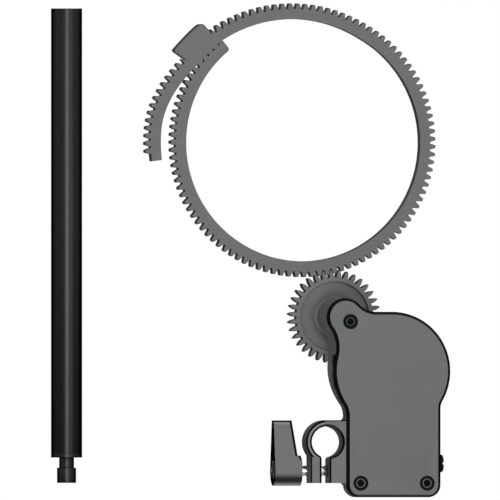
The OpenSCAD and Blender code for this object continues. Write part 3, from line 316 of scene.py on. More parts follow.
def placed(name, mesh, body, finish, nodes=(), slot=None, sharp=35):
    """Makes the mesh a piece: doubles merged, faces outwards, edges over sharp degrees kept
    hard, its finish on, riding on its body and standing for its CAD nodes."""
    work = bmesh.new()
    work.from_mesh(mesh)
    bmesh.ops.remove_doubles(work, verts=work.verts, dist=0.002 * MM)
    bmesh.ops.recalc_face_normals(work, faces=work.faces)
    work.to_mesh(mesh)
    work.free()
    mesh.polygons.foreach_set("use_smooth", np.ones(len(mesh.polygons), bool))
    mesh.set_sharp_from_angle(angle=math.radians(sharp))
    mesh.materials.clear()
    mesh.materials.append(finish.material)
    piece = bpy.data.objects.new(name, mesh)
    bpy.context.collection.objects.link(piece)
    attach(piece, body)
    if nodes:
        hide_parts(*nodes)
        slot = slot or {s["node"]: s["material_slot"]
                        for s in frame["record"]["subparts"]}[nodes[0]]
    return piece


def skinned(name, grid, closed):
    """A mesh over grid, an array [along, round, 3] in millimetres whose rows close round.
    Along, it closes too, or its first and last rows become flat ends."""
    along, around = grid.shape[:2]
    index = np.arange(along * around).reshape(along, around)
    rows = along if closed else along - 1
    here, there = index[:rows], np.roll(index, -1, 0)[:rows]
    quads = np.stack([here, np.roll(here, -1, 1), np.roll(there, -1, 1), there], -1)
    faces = quads.reshape(-1, 4).tolist()
    if not closed:
        faces += [index[0][::-1].tolist(), index[-1].tolist()]
    mesh = bpy.data.meshes.new(name)
    mesh.from_pydata((grid.reshape(-1, 3) * MM).tolist(), [], faces)
    return mesh


def corner_rounded(points, edge):
    """A profile with each corner cut back by edge, or by a third of a shorter side, and
    rounded there by a parabola through its cut points."""
    points = np.asarray(points, float)
    before, after = np.roll(points, 1, 0) - points, np.roll(points, -1, 0) - points
    share = np.array([0.0, 0.35, 0.65, 1.0])[:, None, None]
    starts = before * np.minimum(edge / np.hypot(*before.T), 0.33)[:, None]
    ends = after * np.minimum(edge / np.hypot(*after.T), 0.33)[:, None]
    curve = points + starts * (1 - share) ** 2 + ends * share ** 2
    return curve.transpose(1, 0, 2).reshape(-1, 2)


# The plate's edge as (inset, Y): a straight wall, the bevel's soft foot, the bevel, its top.
cover_profile = [(0, COVER_BACK_Y), (0, -6.42), (0.03, -6.56), (0.11, -6.66),
                 (1.28, -7.83), (1.38, -7.89), (1.55, FACE_Y)]
cover_rows = []
for inset, y in cover_profile:
    ring = case_outline(inset)
    cover_rows.append(np.stack([ring[:, 0], np.full(len(ring), y), ring[:, 1]], 1))
cover_grid = np.array(cover_rows)
work = bmesh.new()
rings = [[work.verts.new(p * MM) for p in row] for row in cover_grid]
for near, far in zip(rings, rings[1:]):
    for i in range(len(near)):
        work.faces.new([near[i - 1], near[i], far[i], far[i - 1]])
back_edges = [work.edges.get([rings[0][i - 1], rings[0][i]]) for i in range(len(rings[0]))]
bmesh.ops.triangle_fill(work, use_beauty=True, edges=back_edges)
rim_edges = [work.edges.get([rings[-1][i - 1], rings[-1][i]]) for i in range(len(rings[-1]))]
# A counterbore as (radius, Y): its broken edge, its wall and its floor.
bore_rows = [(COUNTERBORE_R + 0.16, FACE_Y), (COUNTERBORE_R + 0.05, FACE_Y + 0.05),
             (COUNTERBORE_R, FACE_Y + 0.16), (COUNTERBORE_R, COUNTERBORE_FLOOR_Y - 0.1),
             (COUNTERBORE_R - 0.1, COUNTERBORE_FLOOR_Y)]
for middle in [*COVER_SCREWS, AXLE_SCREW]:
    holes = []
    for radius, y in bore_rows:
        ring = circle_arc(middle, radius, 0, 360, 7.5)
        holes.append([work.verts.new((x * MM, y * MM, z * MM)) for x, z in ring])
    for near, far in zip(holes, holes[1:]):
        for i in range(len(near)):
            work.faces.new([near[i - 1], near[i], far[i], far[i - 1]])
    work.faces.new(holes[-1])
    rim_edges += [work.edges.get([holes[0][i - 1], holes[0][i]]) for i in range(len(holes[0]))]
bmesh.ops.triangle_fill(work, use_beauty=True, edges=rim_edges)
cover_mesh = bpy.data.meshes.new("cover_plate")
work.to_mesh(cover_mesh)
work.free()
cover_finish = paint_edge_shading(blasted("cover_anodising", (0.137, 0.137, 0.138), 0.5, 0),
                     (0.003, 0.003, 0.003), (0.03, 0.03, 0.03), (0.09, 0.09, 0.09),
                     (0.006, 0.006, 0.006), None, (0.78, 0.95))
# Painted shade: everything more than 0.35 mm behind the face, inside the counterbores and down the
# plate's sides, is painted near-black.
depth = cover_finish.node("SeparateXYZ", {}, {"Vector": cover_finish.place()}, "Y")
sunk = depth.between((FACE_Y + 0.35) * MM, (FACE_Y + 0.5) * MM)
cover_finish.tint = cover_finish.mix(sunk * 0.95, cover_finish.tint, (0.005, 0.005, 0.005))
cover_finish.set(Base_Color=cover_finish.tint)
placed("cover_plate", cover_mesh, "case", cover_finish, ["front_cover"], sharp=25)


# Screws of the cover and the axle screw. Black-oxide socket screws, whose heads lie in the
# counterbores; the socket's rim is burnished, and thread-lock has crept round the top one.
def turned(name, axis_point, profile, steps=72, along="y"):
    """A turned piece: profile, a closed list of (radius, place along its axis), carried
    round the axis at even angles."""
    profile = np.asarray(profile, float)
    turn = 2 * math.pi * np.arange(steps) / steps
    r, h = profile[:, 0], np.broadcast_to(profile[:, 1], (steps, len(profile)))
    u, v = np.outer(np.cos(turn), r), np.outer(np.sin(turn), r)
    a, b = axis_point
    columns = {"y": (a + u, h, b + v), "x": (h, a + u, b + v), "z": (a + u, b + v, h)}[along]
    return skinned(name, np.stack(columns, -1), True)


def socket_head(name, middle, seat_y, radius=2.75, height=1.7, socket=1.45, deep=1.1):
    """A socket screw's head from its seat to its face, with the hexagon sunk in it. Where
    the rows reach the socket, their radius is the hexagon's: apothem / cos(angle)."""
    steps = 72
    turn = 2 * math.pi * np.arange(steps) / steps
    flat = np.mod(turn, math.pi / 3) - math.pi / 6
    hexagon = socket * math.cos(math.pi / 6) / np.cos(flat)
    top = seat_y - height
    circle = np.ones(steps)
    rows = [(circle * 0.01, seat_y), (circle * (radius - 0.15), seat_y),
            (circle * radius, seat_y - 0.15), (circle * radius, top + 0.4),
            (circle * (radius - 0.12), top + 0.12), (circle * (radius - 0.4), top),
            (circle * (socket + 0.42), top), (hexagon + 0.16, top + 0.05),
            (hexagon, top + 0.22), (hexagon, top + deep), (circle * 0.01, top + deep + 0.5)]
    radii = np.stack([r for r, _ in rows], 1)
    place = np.broadcast_to([y for _, y in rows], radii.shape)
    grid = np.stack([middle[0] + radii * np.cos(turn)[:, None], place,
                     middle[1] + radii * np.sin(turn)[:, None]], -1)
    return skinned(name, grid, True)


def socket_rim(name, middle, face_y, inner=1.72, outer=2.3):
    """A low round bead on a screw's face, from inner to outer, 0.12 mm high."""
    return turned(name, middle, [(inner, face_y + 0.02), (inner, face_y - 0.05),
                                 (inner + 0.15, face_y - 0.12), (outer - 0.15, face_y - 0.12),
                                 (outer, face_y - 0.05), (outer, face_y + 0.02)])


black_oxide = blasted("black_oxide", (0.005, 0.005, 0.0055), 0.45, 0.02, 0.2 * MM, 0.002 * MM)
burnished = blasted("burnished_rim", (0.05, 0.05, 0.05), 0.35, 0.3, 0.2 * MM, 0.002 * MM)
for k, middle in enumerate(COVER_SCREWS):
    placed(f"cover_screw_{k + 1}", socket_head("screw", middle, COUNTERBORE_FLOOR_Y), "case",
           black_oxide, ["cover_screws"])
    placed(f"cover_screw_rim_{k + 1}", socket_rim("rim", middle, COUNTERBORE_FLOOR_Y - 1.7),
           "case", burnished, slot="black_steel")
placed("axle_screw_head", socket_head("screw", AXLE_SCREW, COUNTERBORE_FLOOR_Y), "case",
       black_oxide, ["axle_screw"])
thread_lock = blasted("thread_lock", (0.006, 0.05, 0.014), 0.4, 0.3, 0.25 * MM, 0.01 * MM)
placed("axle_screw_lock_ring", socket_rim("rim", AXLE_SCREW, COUNTERBORE_FLOOR_Y - 1.7, 1.66,
                                          2.1), "case", thread_lock, slot="black_steel")


# Gear case. One aluminium casting with the split rod clamp, machined and bead-blasted, then
# anodised dark grey. Its own CAD surface is kept, with its edges broken by 0.3 mm.
def unfolded(work):
    """Cuts out each flat region in which a triangle is folded over, and fills it again."""
    folds = [e for e in work.edges if len(e.link_faces) == 2 and e.calc_face_angle(0) > 2.6]
    for fold in folds:
        if not fold.is_valid or len(fold.link_faces) != 2:
            continue
        widest = max(fold.link_faces, key=lambda f: f.calc_area())
        spot, normal = widest.verts[0].co.copy(), widest.normal.copy()
        flat = [f for f in work.faces
                if all(abs((v.co - spot).dot(normal)) < 0.002 * MM for v in f.verts)]
        bmesh.ops.delete(work, geom=flat, context="FACES")
        rim = [e for e in work.edges if len(e.link_faces) == 1]
        bmesh.ops.triangle_fill(work, use_beauty=True, edges=rim)


def dressed(node, body, finish, edge, sharp=28):
    """A copy of the CAD node's mesh with its doubles merged and its flat faces joined, and
    a small round of edge millimetres along each edge over sharp degrees."""
    work = bmesh.new()
    work.from_mesh(frame["nodes"][node].data)
    bmesh.ops.remove_doubles(work, verts=work.verts, dist=0.004 * MM)
    unfolded(work)
    bmesh.ops.dissolve_limit(work, angle_limit=math.radians(0.05), verts=work.verts,
                             edges=work.edges, use_dissolve_boundaries=False)
    bmesh.ops.triangulate(work, faces=[f for f in work.faces if len(f.verts) > 4],
                          ngon_method="EAR_CLIP")
    mesh = bpy.data.meshes.new(node + "_body")
    work.to_mesh(mesh)
    work.free()
    piece = placed(node + "_body", mesh, body, finish, [node], sharp=sharp)
    if edge:
        broken = piece.modifiers.new("broken_edges", "BEVEL")
        broken.width, broken.segments = edge * MM, 2
        broken.limit_method, broken.angle_limit = "ANGLE", math.radians(sharp)
        broken.harden_normals = True
    return piece


# Painted shade on the case's broken edges, and its walls painted lighter than its faces as painted
# light.
case_finish = paint_edge_shading(blasted("case_anodising", (0.147, 0.147, 0.148), 0.5, 0),
                    (0.004, 0.004, 0.004), (0.01, 0.01, 0.01), (0.03, 0.03, 0.03),
                    (0.17, 0.17, 0.17), None, (0.95, 0.99))
spot = case_finish.place()
x, y, z = [case_finish.node("SeparateXYZ", {}, {"Vector": spot}, axis) for axis in "XYZ"]
from_bore = case_finish.node("VectorMath", {"operation": "LENGTH"}, {
    0: case_finish.node("VectorMath", {"operation": "MULTIPLY"}, {0: spot, 1: (1, 0, 1)})},
    "Value")


CLAMP_BORE_R, CLAMP_R, JAW_THIN_X, JAW_THICK_X = 7.5, 10.5, (-8.25, -2.85), 0.95
EDGE_SHADE_BLACK = (0.002, 0.002, 0.002)


def line(distance, start, width):
    """A soft line on a face where distance, in metres, is between start and start + width
    millimetres."""
    return distance.between((start - 0.1) * MM, (start + 0.1) * MM) - distance.between(
        (start + width - 0.1) * MM, (start + width + 0.1) * MM)


# Painted shade: the clamp's faces have a black line painted along each edge: round the bore and
# the ring above the slot, beside the slot and along the jaw below it, and along the roof towards
# the case.
on_jaws = (x * -1).between(-9.15 * MM, -9.05 * MM)
below = (z * -1).between(7.0 * MM, 7.6 * MM)
above = 1 - below
left = (x * -1).between(0.5 * MM, 1.5 * MM)
ring = (line(from_bore, CLAMP_BORE_R - 0.1, 1.2)
        + line(from_bore, CLAMP_R - 0.95, 1.2) * left) * above
flats = (line(x, JAW_THIN_X[0] - 0.2, 0.95) + line(x, JAW_THIN_X[1] - 0.95, 1.05)
         + line(x, JAW_THICK_X - 0.1, 1.05)) * below
roof = line(z, CLAMP_R - 0.5, 0.7) * (1 - left)
flat_face = case_finish.facing()[1].math("ABSOLUTE").between(0.85, 0.95)
clamp_edge_shade = ((ring + flats + roof) * on_jaws * flat_face).math("MINIMUM", 1.0)
# A painted highlight: a light line beside the ring's outer black line, on the left.
clamp_edge_highlight = line(from_bore, CLAMP_BORE_R + 1.1, 0.9) * left * above * on_jaws
case_tint = case_finish.mix(clamp_edge_highlight, case_finish.tint, (0.20, 0.20, 0.20))
case_finish.set(Base_Color=case_finish.mix(clamp_edge_shade, case_tint, EDGE_SHADE_BLACK),
                Coat_Weight=flat_face * (1 - clamp_edge_shade) * 0.12)
dressed("gear_case", "case", case_finish, 0.3)


# Clamp lever. An aluminium lever with a round hub, splined on the clamp's stud. Its edges are
# rounded, with painted shade along them. Low on the hub a dark band is a painted reflection, and
# its lowest line a painted reflection of the floor.
LEVER_TOP_Z, LEVER_SIDE_X, LEVER_FOOT_Z, LEVER_SLANT = 9.5, -16.85, -6.9, 0.138
lever_finish = blasted("lever_anodising", (0.155, 0.155, 0.156), 0.48, 0)
nx, ny, nz = lever_finish.facing()
# Painted shade along edges that look sideways or up, and further down along the inner side and the
# top.
lever_edge_shade = (nx.math("ABSOLUTE").between(0.1, 0.3) + nz.between(0.35, 0.6)).math(
    "MINIMUM", 1.0)
hub_reflection_band = (nz * -1).between(0.12, 0.56) - (nz * -1).between(0.68, 0.9)
hub_floor_reflection = (nz * -1).between(0.8, 0.97)
lever_tint = lever_finish.mix(hub_reflection_band, lever_finish.tint, (0.02, 0.02, 0.02))
lever_tint = lever_finish.mix(hub_floor_reflection, lever_tint, (0.36, 0.36, 0.36))
place = lever_finish.place()
height = lever_finish.node("SeparateXYZ", {}, {"Vector": place}, "Z")
outwards = lever_finish.node("SeparateXYZ", {}, {"Vector": place}, "X") + height * LEVER_SLANT
inner_side = (outwards.between(LEVER_SIDE_X * MM, (LEVER_SIDE_X + 0.15) * MM)
              * height.between(LEVER_FOOT_Z * MM, (LEVER_FOOT_Z + 0.3) * MM))
# A painted highlight: a light line just under the top edge.
lever_tint = lever_finish.mix(line(height, LEVER_TOP_Z - 0.9, 0.7), lever_tint,
                              (0.24, 0.24, 0.24))
top_line = height.between(LEVER_TOP_Z * MM, (LEVER_TOP_Z + 0.3) * MM)
lever_edge_shade = (lever_edge_shade + inner_side + top_line).math("MINIMUM", 1.0)
lever_finish.set(Base_Color=lever_finish.mix(lever_edge_shade, lever_tint, (0.004, 0.004, 0.004)))
dressed("clamp_lever", "lever_set", lever_finish, 0.55)


# Clamp stud, its washer, insert, screw and spring. The stud is ground bright steel. The spring
# bears on the lever's shoulder and goes with it.
def machined(name, tone, rough):
    """Bare metal off a lathe or a press: fine tool marks in tone, roughness and relief."""
    paint = Paint(name, Metallic=1.0)
    marks = paint.noise(0.12 * MM, 2.0)
    cloud = paint.noise(6 * MM, 2.0)
    low, high = tuple(0.85 * c for c in tone), tuple(min(1, 1.1 * c) for c in tone)
    paint.tint = paint.mix((marks - 0.5) * 0.8 + (cloud - 0.5) * 0.3 + 0.5, low, high)
    paint.set(Base_Color=paint.tint, Roughness=(marks - 0.5) * 0.15 + rough)
    paint.bump(marks, 0.002 * MM)
    return paint


bright_steel = machined("bright_steel", (0.90, 0.90, 0.91), 0.12)
ground_steel = Paint("ground_steel", Metallic=1.0)
grind = ground_steel.noise(0.1 * MM, 2.0, (0.1, 1, 1))
ground_steel.set(Base_Color=ground_steel.mix(grind, (0.90, 0.90, 0.91), (0.97, 0.97, 0.97)),
                 Roughness=grind * 0.06 + 0.06)
dressed("clamp_stud", "stud_set", ground_steel, 0.12)
dressed("lever_washer", "thrust_washer", ground_steel, 0.1)
dressed("clamp_insert", "case", black_oxide, 0.15)
dressed("lever_screw", "stud_set", black_oxide, 0.12)
spring = dressed("lever_spring", "lever_set", bright_steel, 0)
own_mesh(spring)


# Drive gear. A moulded grey gear of 35 tall teeth, with a shallow round recess in its face
# and rounded tips, held to the hub by three screws on its far side.
def tooth_shape(pitch_r, teeth, root, tip, thin, pressure=20, shares=(0, 0.2, 0.45, 0.75, 1)):
    """One tooth as (angle from its middle in degrees, radius): its half angle falls with
    the involute of the radius, tan(a) - a with cos(a) = base / r."""
    base = pitch_r * math.cos(math.radians(pressure))

    def involute(r):
        a = np.arccos(np.minimum(1, base / r))
        return np.degrees(np.tan(a) - a)

    r = root + np.array(shares) * (tip - root)
    half = (90 / teeth - math.degrees(thin / pitch_r) / 2 + involute(pitch_r)
            - involute(np.maximum(r, base)))
    angle = np.concatenate([-half, half[::-1]])
    return np.stack([angle, np.concatenate([r, r[::-1]])], 1)


def outward(points):
    """Unit vectors that point out of a closed outline drawn anticlockwise."""
    along = np.roll(points, -1, 0) - np.roll(points, 1, 0)
    normal = np.stack([along[:, 1], -along[:, 0]], 1)
    return normal / np.maximum(np.hypot(*normal.T), 1e-9)[:, None]


def toothed(name, middle, outline, y0, y1, inner, edge):
    """A gear: each point of the toothed outline carries one section, from its far face over
    a small chamfer, along the tooth and over the other chamfer, then in through inner, a
    list of (radius, place along Y) that closes it."""
    inset = outline - edge * outward(outline)
    turn = np.arctan2(*(outline - middle)[:, ::-1].T)[:, None]
    ray = np.concatenate([np.cos(turn), np.sin(turn)], 1)
    rows = [(inset, y1), (outline, y1 - edge), (outline, y0 + edge), (inset, y0)]
    rows += [(middle + r * ray, y) for r, y in inner]
    return skinned(name, np.stack([np.stack([p[:, 0], np.full(len(p), y), p[:, 1]], 1)
                                   for p, y in rows], 1), True)


DRIVE_PITCH_R, DRIVE_TEETH = 21.0, 35
GEAR_Y0, GEAR_Y1, WEB_Y0, WEB_Y1 = 33.4, 39.8, 36.0, 39.0
RECESS_R, WEB_BORE_R, GEAR_CHAMFER = 16.9, 4.36, 0.15
drive_tooth = tooth_shape(DRIVE_PITCH_R, DRIVE_TEETH, 18.9, 22.5, 0.08)
drive_turn = np.radians(100.5 + 4.2 + 360 * np.arange(DRIVE_TEETH)[:, None] / DRIVE_TEETH
                        + drive_tooth[None, :, 0]).ravel()
drive_r = np.tile(drive_tooth[:, 1], DRIVE_TEETH)
drive_outline = DRIVE_AXIS + (drive_r * np.array([np.cos(drive_turn), np.sin(drive_turn)])).T
# Painted shade on the gear's broken edges and walls.
gear_plastic = paint_edge_shading(blasted("gear_nylon", (0.160, 0.160, 0.161), 0.55, 0.02, 0.3 * MM,
                             0.008 * MM), (0.05, 0.05, 0.05), (0.05, 0.05, 0.05),
                     (0.05, 0.05, 0.05), (0.03, 0.03, 0.03))
gear_spot = gear_plastic.node("VectorMath", {"operation": "DISTANCE"}, {
    0: gear_plastic.node("VectorMath", {"operation": "MULTIPLY"}, {
        0: gear_plastic.place(), 1: (1, 0, 1)}), 1: (DRIVE_AXIS[0] * MM, 0, DRIVE_AXIS[1] * MM)},
    "Value")
# Inside the recess, walls that look towards +X get a plain lighter tone as painted light, and
# towards the hub the colour is painted darker as painted shade.
within = 1 - gear_spot.between((RECESS_R + 0.3) * MM, (RECESS_R + 0.5) * MM)
away = gear_plastic.facing()[0].between(-0.2, 0.2) * within
gear_plastic.tint = gear_plastic.mix(away, gear_plastic.tint, (0.16, 0.16, 0.16))
shade = gear_spot.between(8 * MM, 14.5 * MM)
gear_plastic.set(Base_Color=gear_plastic.mix(shade, (0.088, 0.088, 0.088), gear_plastic.tint))
placed("drive_gear_wheel", toothed("drive_gear_wheel", DRIVE_AXIS, drive_outline, GEAR_Y0,
       GEAR_Y1, [(RECESS_R + 0.03, GEAR_Y0), (RECESS_R, GEAR_Y0 + 0.03),
                 (RECESS_R, WEB_Y0 - 0.1), (RECESS_R - 0.1, WEB_Y0), (WEB_BORE_R, WEB_Y0),
                 (WEB_BORE_R, WEB_Y1), (RECESS_R, WEB_Y1), (RECESS_R, GEAR_Y1 - GEAR_CHAMFER),
                 (RECESS_R + GEAR_CHAMFER, GEAR_Y1)], GEAR_CHAMFER),
       "drive_set", gear_plastic, ["drive_gear"], sharp=40)


# Drive hub. A long turned aluminium hub from the case's lobe to the gear, with a collar
# against the gear's web, on bronze bushes; screws, washer and nut close its far end.
hub_finish = blasted("hub_anodising", (0.12, 0.12, 0.121), 0.45, 0.08, 0.3 * MM)
placed("drive_hub_sleeve", turned("drive_hub_sleeve", DRIVE_AXIS, corner_rounded(
    [(3.15, -2.1), (3.83, -2.1), (3.83, 1.92), (4.5, 1.92), (4.5, 11.5), (8.3, 11.5),
     (8.3, 35.0), (9.9, 35.0), (9.9, 36.0), (4.33, 36.0), (4.33, 39.0), (3.15, 39.0)],
    0.25), 96), "drive_set", hub_finish, ["drive_hub"])
bronze = machined("sintered_bronze", (0.55, 0.36, 0.16), 0.4)
tool_steel = machined("tool_steel", (0.45, 0.46, 0.48), 0.32)
for node, body, finish, edge in [
        ("drive_pinion", "drive_set", tool_steel, 0.06), ("hub_bushes", "drive_set", bronze, 0.1),
        ("gear_screws", "drive_set", black_oxide, 0.15), ("drive_axle", "case", tool_steel, 0.12),
        ("axle_washer", "case", tool_steel, 0.1), ("axle_nut", "case", tool_steel, 0.2),
        ("drive_bush", "case", bronze, 0.12), ("wheel_bush_front", "case", bronze, 0.12),
        ("wheel_bush_rear", "case", bronze, 0.12)]:
    dressed(node, body, finish, edge)


# Gear belt. A strip of grey nylon with teeth outside, bent round the lens until it laps
# over its own end; the lap's free tail curls away. Teeth under the lap are cut short.
BELT_AXIS = np.array([-4.64469, 144.272])
BELT_PITCH_R, BELT_TEETH, BELT_ROOT_R, BELT_TIP_R, BELT_IN_R = 64.2, 107, 62.34, 64.92, 57.24
BELT_START, LAP_FROM, LAP_LIFT, TAIL_FROM, TAIL_LIFT = 128.7, 420.0, 5.8, 495.0, 6.6
BELT_END = BELT_START + 360 + 58.3
KEEPER_START, KEEPER_RUN = BELT_START + 361.8, 14.8


def lift(turn):
    """How far the belt stands off its circle at an angle: nothing on the first lap, then a
    power of the angle up to the lap's height, and a smooth rise along the tail."""
    lap = np.clip((turn - LAP_FROM) / (BELT_START + 360 - LAP_FROM), 0, 1) ** 1.35
    tail = np.clip((turn - TAIL_FROM) / 40, 0, 1)
    return LAP_LIFT * lap + TAIL_LIFT * tail ** 2 * (3 - 2 * tail)


def on_belt(turn, radius):
    return BELT_AXIS + radius[:, None] * np.stack([np.cos(np.radians(turn)),
                                                   np.sin(np.radians(turn))], 1)


belt_pitch = 360 / BELT_TEETH
belt_gap_at = 100.5 + 180 - 4.2 * DRIVE_TEETH / BELT_TEETH
first = belt_gap_at + belt_pitch * (math.ceil((BELT_START + 2 - belt_gap_at) / belt_pitch
                                              - 0.5) + 0.5)
centres = [first]
while centres[-1] < BELT_END - 2:
    stretch = BELT_PITCH_R / (BELT_PITCH_R + float(lift(np.array(centres[-1]))))
    centres.append(centres[-1] + belt_pitch * stretch)
centres = np.array(centres[:-1])
belt_tooth = tooth_shape(BELT_PITCH_R, BELT_TEETH, BELT_ROOT_R, BELT_TIP_R, 0.08)
belt_turn = (centres[:, None] + belt_tooth[None, :, 0] * (
    BELT_PITCH_R / (BELT_PITCH_R + lift(centres)))[:, None]).ravel()
belt_r = np.tile(belt_tooth[:, 1], len(centres)) + lift(belt_turn)
under_keeper = (belt_turn > KEEPER_START) & (belt_turn < KEEPER_START + KEEPER_RUN)
under_lap = belt_turn + 360 < BELT_END + 1
ceiling = np.where(under_keeper, BELT_ROOT_R + lift(belt_turn),
                   np.where(under_lap, BELT_IN_R + lift(belt_turn + 360), 999))
belt_r = np.minimum(belt_r, ceiling)
END_ROUND = 1.3
corner_turn = BELT_START + math.degrees(END_ROUND / BELT_IN_R) * (
    1 - np.cos(np.radians(np.arange(0, 91, 15))))
belt_turn = np.concatenate([corner_turn, belt_turn, [BELT_END]])
land_r = BELT_IN_R + float(lift(np.array(BELT_START + 360)))
belt_r = np.concatenate([np.full(len(corner_turn), land_r), belt_r,
                         [BELT_ROOT_R + lift(np.array(BELT_END))]])
from_end = np.clip(np.radians(belt_turn - BELT_START) * BELT_IN_R, 0, END_ROUND)
inner_r = (BELT_IN_R + lift(belt_turn) + END_ROUND
           - np.sqrt(END_ROUND ** 2 - (END_ROUND - from_end) ** 2))
pressed = np.concatenate([np.ones(len(corner_turn), bool), belt_r[len(corner_turn):-1]
                          > ceiling - 0.01, [False]])
rests = (belt_turn > BELT_START + 360) & (lift(belt_turn) < BELT_TIP_R - BELT_IN_R)
outer_edge, inner_edge = np.where(pressed, 0.01, 0.18), np.where(rests, 0.01, 0.18)
outer_line = on_belt(belt_turn, belt_r)
belt_section = [
    (on_belt(belt_turn, belt_r - outer_edge), GEAR_Y0), (outer_line, GEAR_Y0 + outer_edge),
    (outer_line, GEAR_Y1 - outer_edge), (on_belt(belt_turn, belt_r - outer_edge), GEAR_Y1),
    (on_belt(belt_turn, inner_r + inner_edge), GEAR_Y1),
    (on_belt(belt_turn, inner_r), GEAR_Y1 - inner_edge),
    (on_belt(belt_turn, inner_r), GEAR_Y0 + inner_edge),
    (on_belt(belt_turn, inner_r + inner_edge), GEAR_Y0)]
belt_grid = np.stack([np.stack([p[:, 0], np.broadcast_to(y, len(p)), p[:, 1]], 1)
                      for p, y in belt_section], 1)
# Painted shade on the belt's broken edges and walls, lighter where they look down as painted
# light.
belt_plastic = paint_edge_shading(blasted("belt_nylon", (0.138, 0.138, 0.139), 0.6, 0.04, 0.3 * MM,
                             0.008 * MM), (0.03, 0.03, 0.03), (0.03, 0.03, 0.03),
                     (0.09, 0.09, 0.09), (0.02, 0.02, 0.02), (0.14, 0.14, 0.14))
placed("lens_belt", skinned("lens_belt", belt_grid, False), "belt_set", belt_plastic,
       ["gear_belt"], sharp=40)


# Belt keeper. A moulded block over the lap, with its screw, which draws the lap onto an
# insert in the belt's inner end. It rises 8.2 mm from the tooth roots, faintly crowned.
KEEPER_HIGH, KEEPER_CORNERS = 8.2, (2.4, 1.1)
keeper_long = math.radians(KEEPER_RUN) * (BELT_ROOT_R + float(lift(np.array(KEEPER_START))))
near, far = KEEPER_CORNERS
under = np.stack([np.linspace(keeper_long, 0, 30), np.zeros(30)], 1)
over = np.stack([np.linspace(near, keeper_long - far, 24)[1:-1], np.full(22, KEEPER_HIGH)], 1)
keeper_shape = np.concatenate([
    under, circle_arc([near, KEEPER_HIGH - near], near, 180, 90, 10), [[near, KEEPER_HIGH]],
    over, circle_arc([keeper_long - far, KEEPER_HIGH - far], far, 90, 0, 10),
    [[keeper_long, KEEPER_HIGH - far]]])
keeper_turn = KEEPER_START + KEEPER_RUN * keeper_shape[:, 0] / keeper_long


def keeper_ring(inset):
    """The keeper's outline, pulled in by inset along its sides and top but not its foot."""
    high = keeper_shape[:, 1] * (1 - inset / KEEPER_HIGH)
    crown = 0.25 * np.sin(np.pi * keeper_shape[:, 0] / keeper_long) * high / KEEPER_HIGH
    turn = keeper_turn + math.degrees(inset / BELT_TIP_R) * np.where(
        high > 0.5, 1 - 2 * keeper_shape[:, 0] / keeper_long, 0)
    return on_belt(turn, BELT_ROOT_R + lift(keeper_turn) + high + crown)


keeper_rows = [(0.25, GEAR_Y0), (0, GEAR_Y0 + 0.25), (0, GEAR_Y1 - 0.25), (0.25, GEAR_Y1)]
keeper_grid = np.stack([np.stack([p[:, 0], np.full(len(p), y), p[:, 1]], 1)
                        for p, y in [(keeper_ring(i), y) for i, y in keeper_rows]])
placed("lap_keeper", skinned("lap_keeper", keeper_grid, False), "belt_set", belt_plastic,
       ["belt_keeper"], sharp=30)
dressed("keeper_screw", "belt_set", black_oxide, 0.12)
dressed("keeper_insert", "belt_set", bronze, 0.1)


# Support rod. A drawn aluminium tube, hard-anodised black and satin, with a plug in each
# end; the lower plug holds a necked spigot, the upper one the socket for another.
rod_black = Paint("rod_anodising", Metallic=1.0, Specular_Tint=(0.0, 0.0, 0.0))
drawn = rod_black.noise(0.25 * MM, 2.0, (1, 1, 0.04))
rod_black.set(Base_Color=rod_black.mix(drawn, (0.018, 0.018, 0.018), (0.023, 0.023, 0.023)),
              Roughness=(drawn - 0.5) * 0.1 + 0.33)
rod_black.bump(drawn, 0.0015 * MM)
ROD_X, ROD_R, TUBE_BORE_R, PLUG_R = -126.8, 7.5, 5.7, 5.68
TUBE_LOW, TUBE_TOP, PLUG_LOW = -5.6, 208.8, -7.5
SPIGOT_R, NECK_R, STEM_R, SPIGOT_LOW, SOCKET_R, SOCKET_FLOOR = 4.6, 3.6, 3.0, -19.7, 4.66, 196.3


def rod_part(name, node, profile, edge):
    """A turned piece of the rod, its corners rounded by edge, in place of its CAD node."""
    mesh = turned(name, (ROD_X, 0), corner_rounded(profile, edge), 128, "z")
    return placed(name, mesh, "case", rod_black, [node])


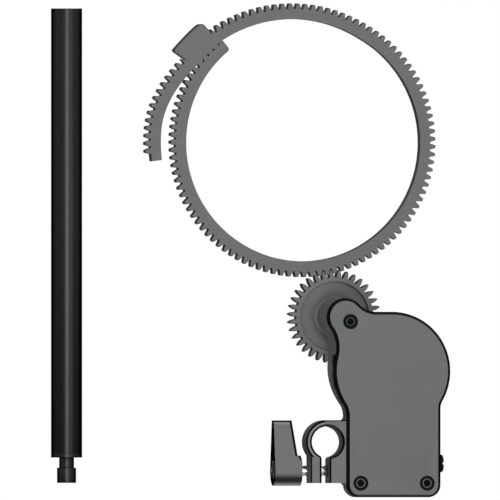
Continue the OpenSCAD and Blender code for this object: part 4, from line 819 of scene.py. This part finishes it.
rod_part("rod_sleeve", "rod_tube", [(TUBE_BORE_R, TUBE_LOW), (ROD_R, TUBE_LOW),
                                    (ROD_R, TUBE_TOP), (TUBE_BORE_R, TUBE_TOP)], 0.12)
rod_part("rod_lower_plug", "rod_end_plug", [
    (STEM_R + 0.02, PLUG_LOW), (ROD_R, PLUG_LOW), (ROD_R, TUBE_LOW), (PLUG_R, TUBE_LOW),
    (PLUG_R, 4.5), (STEM_R + 0.02, 4.5)], 0.12)
rod_part("rod_necked_spigot", "rod_spigot", [
    (0.01, SPIGOT_LOW), (SPIGOT_R, SPIGOT_LOW), (SPIGOT_R, -12.4), (NECK_R, -12.4),
    (NECK_R, PLUG_LOW), (STEM_R, PLUG_LOW), (STEM_R, 1.2), (0.01, 1.2)], 0.25)
rod_part("rod_socket_plug", "rod_top_plug", [
    (0.01, 194.5), (PLUG_R, 194.5), (PLUG_R, TUBE_TOP), (SOCKET_R, TUBE_TOP),
    (SOCKET_R, SOCKET_FLOOR), (0.01, SOCKET_FLOOR)], 0.3)


# Handwheel behind the case. A black anodised rim with a fluted rubber grip, on a steel
# shaft with the wheel gear and its clip, closed by a screw and a flat cap.
black_anodised = blasted("black_anodising", (0.02, 0.02, 0.021), 0.42, 0.25, 0.3 * MM)
rubber = blasted("grip_rubber", (0.012, 0.012, 0.012), 0.8, 0.3, 0.4 * MM, 0.02 * MM)
friction_felt = blasted("friction_felt", (0.08, 0.06, 0.05), 0.95, 0.1, 0.4 * MM, 0.05 * MM)
for node, body, finish, edge in [
        ("handwheel", "handwheel_set", black_anodised, 0.3),
        ("grip_ring", "handwheel_set", rubber, 0),
        ("wheel_shaft", "handwheel_set", tool_steel, 0.1),
        ("wheel_gear", "handwheel_set", bronze, 0), ("wheel_clip", "handwheel_set", tool_steel, 0),
        ("wheel_screw", "handwheel_set", black_oxide, 0.15),
        ("wheel_cap", "handwheel_set", black_anodised, 0.2)]:
    dressed(node, body, finish, edge)


# Friction adjuster in the right wall. A slotted blackened steel knob turns in place and
# screws a keyed nylon plunger inwards, onto a leaf spring that presses a felt pad.
for node, body, finish, edge in [
        ("drag_knob", "knob_set", black_oxide, 0.2),
        ("drag_plunger", "plunger_set", gear_plastic, 0), ("drag_leaf", "case", tool_steel, 0),
        ("drag_pad", "case", friction_felt, 0)]:
    dressed(node, body, finish, edge)
